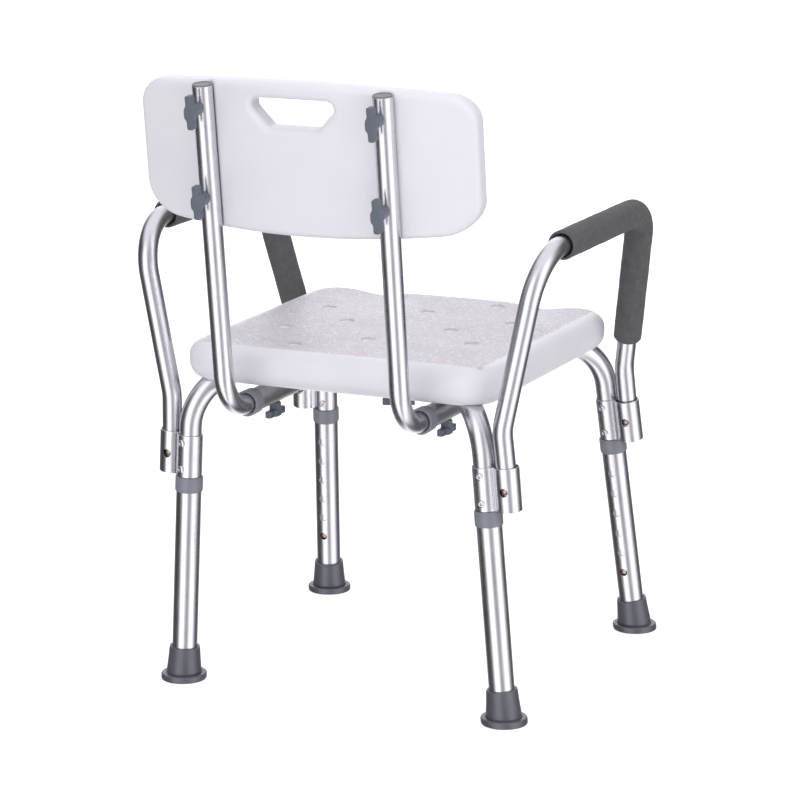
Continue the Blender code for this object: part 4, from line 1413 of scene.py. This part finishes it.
# ================================================================ floor
def build_floor():
    bm = bmesh.new()
    bmesh.ops.create_grid(bm, x_segments=8, y_segments=8, size=40.0)
    floor = new_object("floor", bm, None, smooth=False)
    floor.visible_glossy = False
    # a flat sheet has no outside, so its normals may have been turned down
    if floor.data.polygons[0].normal.z < 0:
        floor.data.flip_normals()
    S = Surface("floor_pale")
    S.set(
        Base_Color=(0.60, 0.60, 0.60), Roughness=0.8, Specular_IOR_Level=0.0,
        Emission_Color=(1.0, 1.0, 1.0),
        # brighter to the camera than in the light it gives the stool
        Emission_Strength=S.remap(S.is_camera_ray(), span=(0.0, 1.0), to=(0.26, 0.74)),
    )
    # from below, the floor isn't there, so the underside can be looked at
    mix = S.node("ShaderNodeMixShader")
    S.link(S.geometry("Backfacing"), mix.inputs[0])
    S.link(S.shader.outputs[0], mix.inputs[1])
    S.link(S.node("ShaderNodeBsdfTransparent").outputs[0], mix.inputs[2])
    S.link(mix.outputs[0], S.tree.nodes["Material Output"].inputs["Surface"])
    floor.data.materials.append(S.material)


# ================================================================ world light
# brightness round the stool, in degrees from the camera's side; + is the camera's right
LIGHT_STOPS = [
    (-180, 0.85), (-162, 0.55), (-146, 0.05), (-100, 0.03), (-74, 0.05), (-60, 0.25),
    (-48, 1.1), (-38, 2.0), (-28, 2.0), (-18, 1.0), (-6, 0.32), (8, 0.18), (20, 0.22),
    (34, 0.7), (48, 1.15), (64, 1.1), (78, 0.6), (92, 0.15), (112, 0.03), (146, 0.05),
    (162, 0.55), (180, 0.85),
]
LIGHT_STRENGTH = 1.92
OVERHEAD, LIGHT_TINT = (0.56, 0.56, 0.56), (1.0, 0.992, 1.03)


def light_ramp(W, direction):
    """Brightness by compass direction."""
    parts = []
    for axis in (CAMERA_RIGHT, TO_CAMERA):
        dot = W.node("ShaderNodeVectorMath", operation="DOT_PRODUCT")
        W.link(direction, dot.inputs[0])
        dot.inputs[1].default_value = V((axis.x, axis.y, 0)).normalized()
        parts.append(dot.outputs["Value"])
    ramp = W.node("ShaderNodeValToRGB")
    colours = ramp.color_ramp
    colours.interpolation = "B_SPLINE"
    turn = W.remap(W.math("ARCTAN2", *parts), span=(-math.pi, math.pi))
    W.link(turn, ramp.inputs["Fac"])
    while len(colours.elements) > 1:
        colours.elements.remove(colours.elements[-1])
    for i, (degrees, value) in enumerate(LIGHT_STOPS):
        position = (degrees + 180) / 360.0
        element = colours.elements[0] if i == 0 else colours.elements.new(position)
        element.position = position
        element.color = (value, value, value, 1.0)
    return ramp.outputs["Color"]


def build_world():
    world = bpy.data.worlds.new("studio")
    bpy.context.scene.world = world
    world.use_nodes = True
    W = Nodes(world.node_tree)
    W.tree.nodes.clear()
    direction = W.node("ShaderNodeTexCoord").outputs["Generated"]
    # softbox overhead
    overhead = W.remap(W.split(direction)[2], span=(0.45, 0.85), smooth=True)
    colour = W.mix(overhead, light_ramp(W, direction), OVERHEAD)
    light = W.node("ShaderNodeBackground")
    W.link(W.mix(1.0, colour, LIGHT_TINT, blend="MULTIPLY"), light.inputs["Color"])
    light.inputs["Strength"].default_value = LIGHT_STRENGTH
    # the camera itself sees plain white
    white = W.node("ShaderNodeBackground")
    white.inputs["Color"].default_value = (1, 1, 1, 1)
    white.inputs["Strength"].default_value = 1.0
    mix = W.node("ShaderNodeMixShader")
    W.link(W.is_camera_ray(), mix.inputs[0])
    W.link(light.outputs[0], mix.inputs[1])
    W.link(white.outputs[0], mix.inputs[2])
    W.link(mix.outputs[0], W.node("ShaderNodeOutputWorld").inputs["Surface"])


build_camera()
build_floor()
build_world()
bpy.context.scene.view_settings.view_transform = "Standard"
bpy.context.scene.view_settings.look = "None"
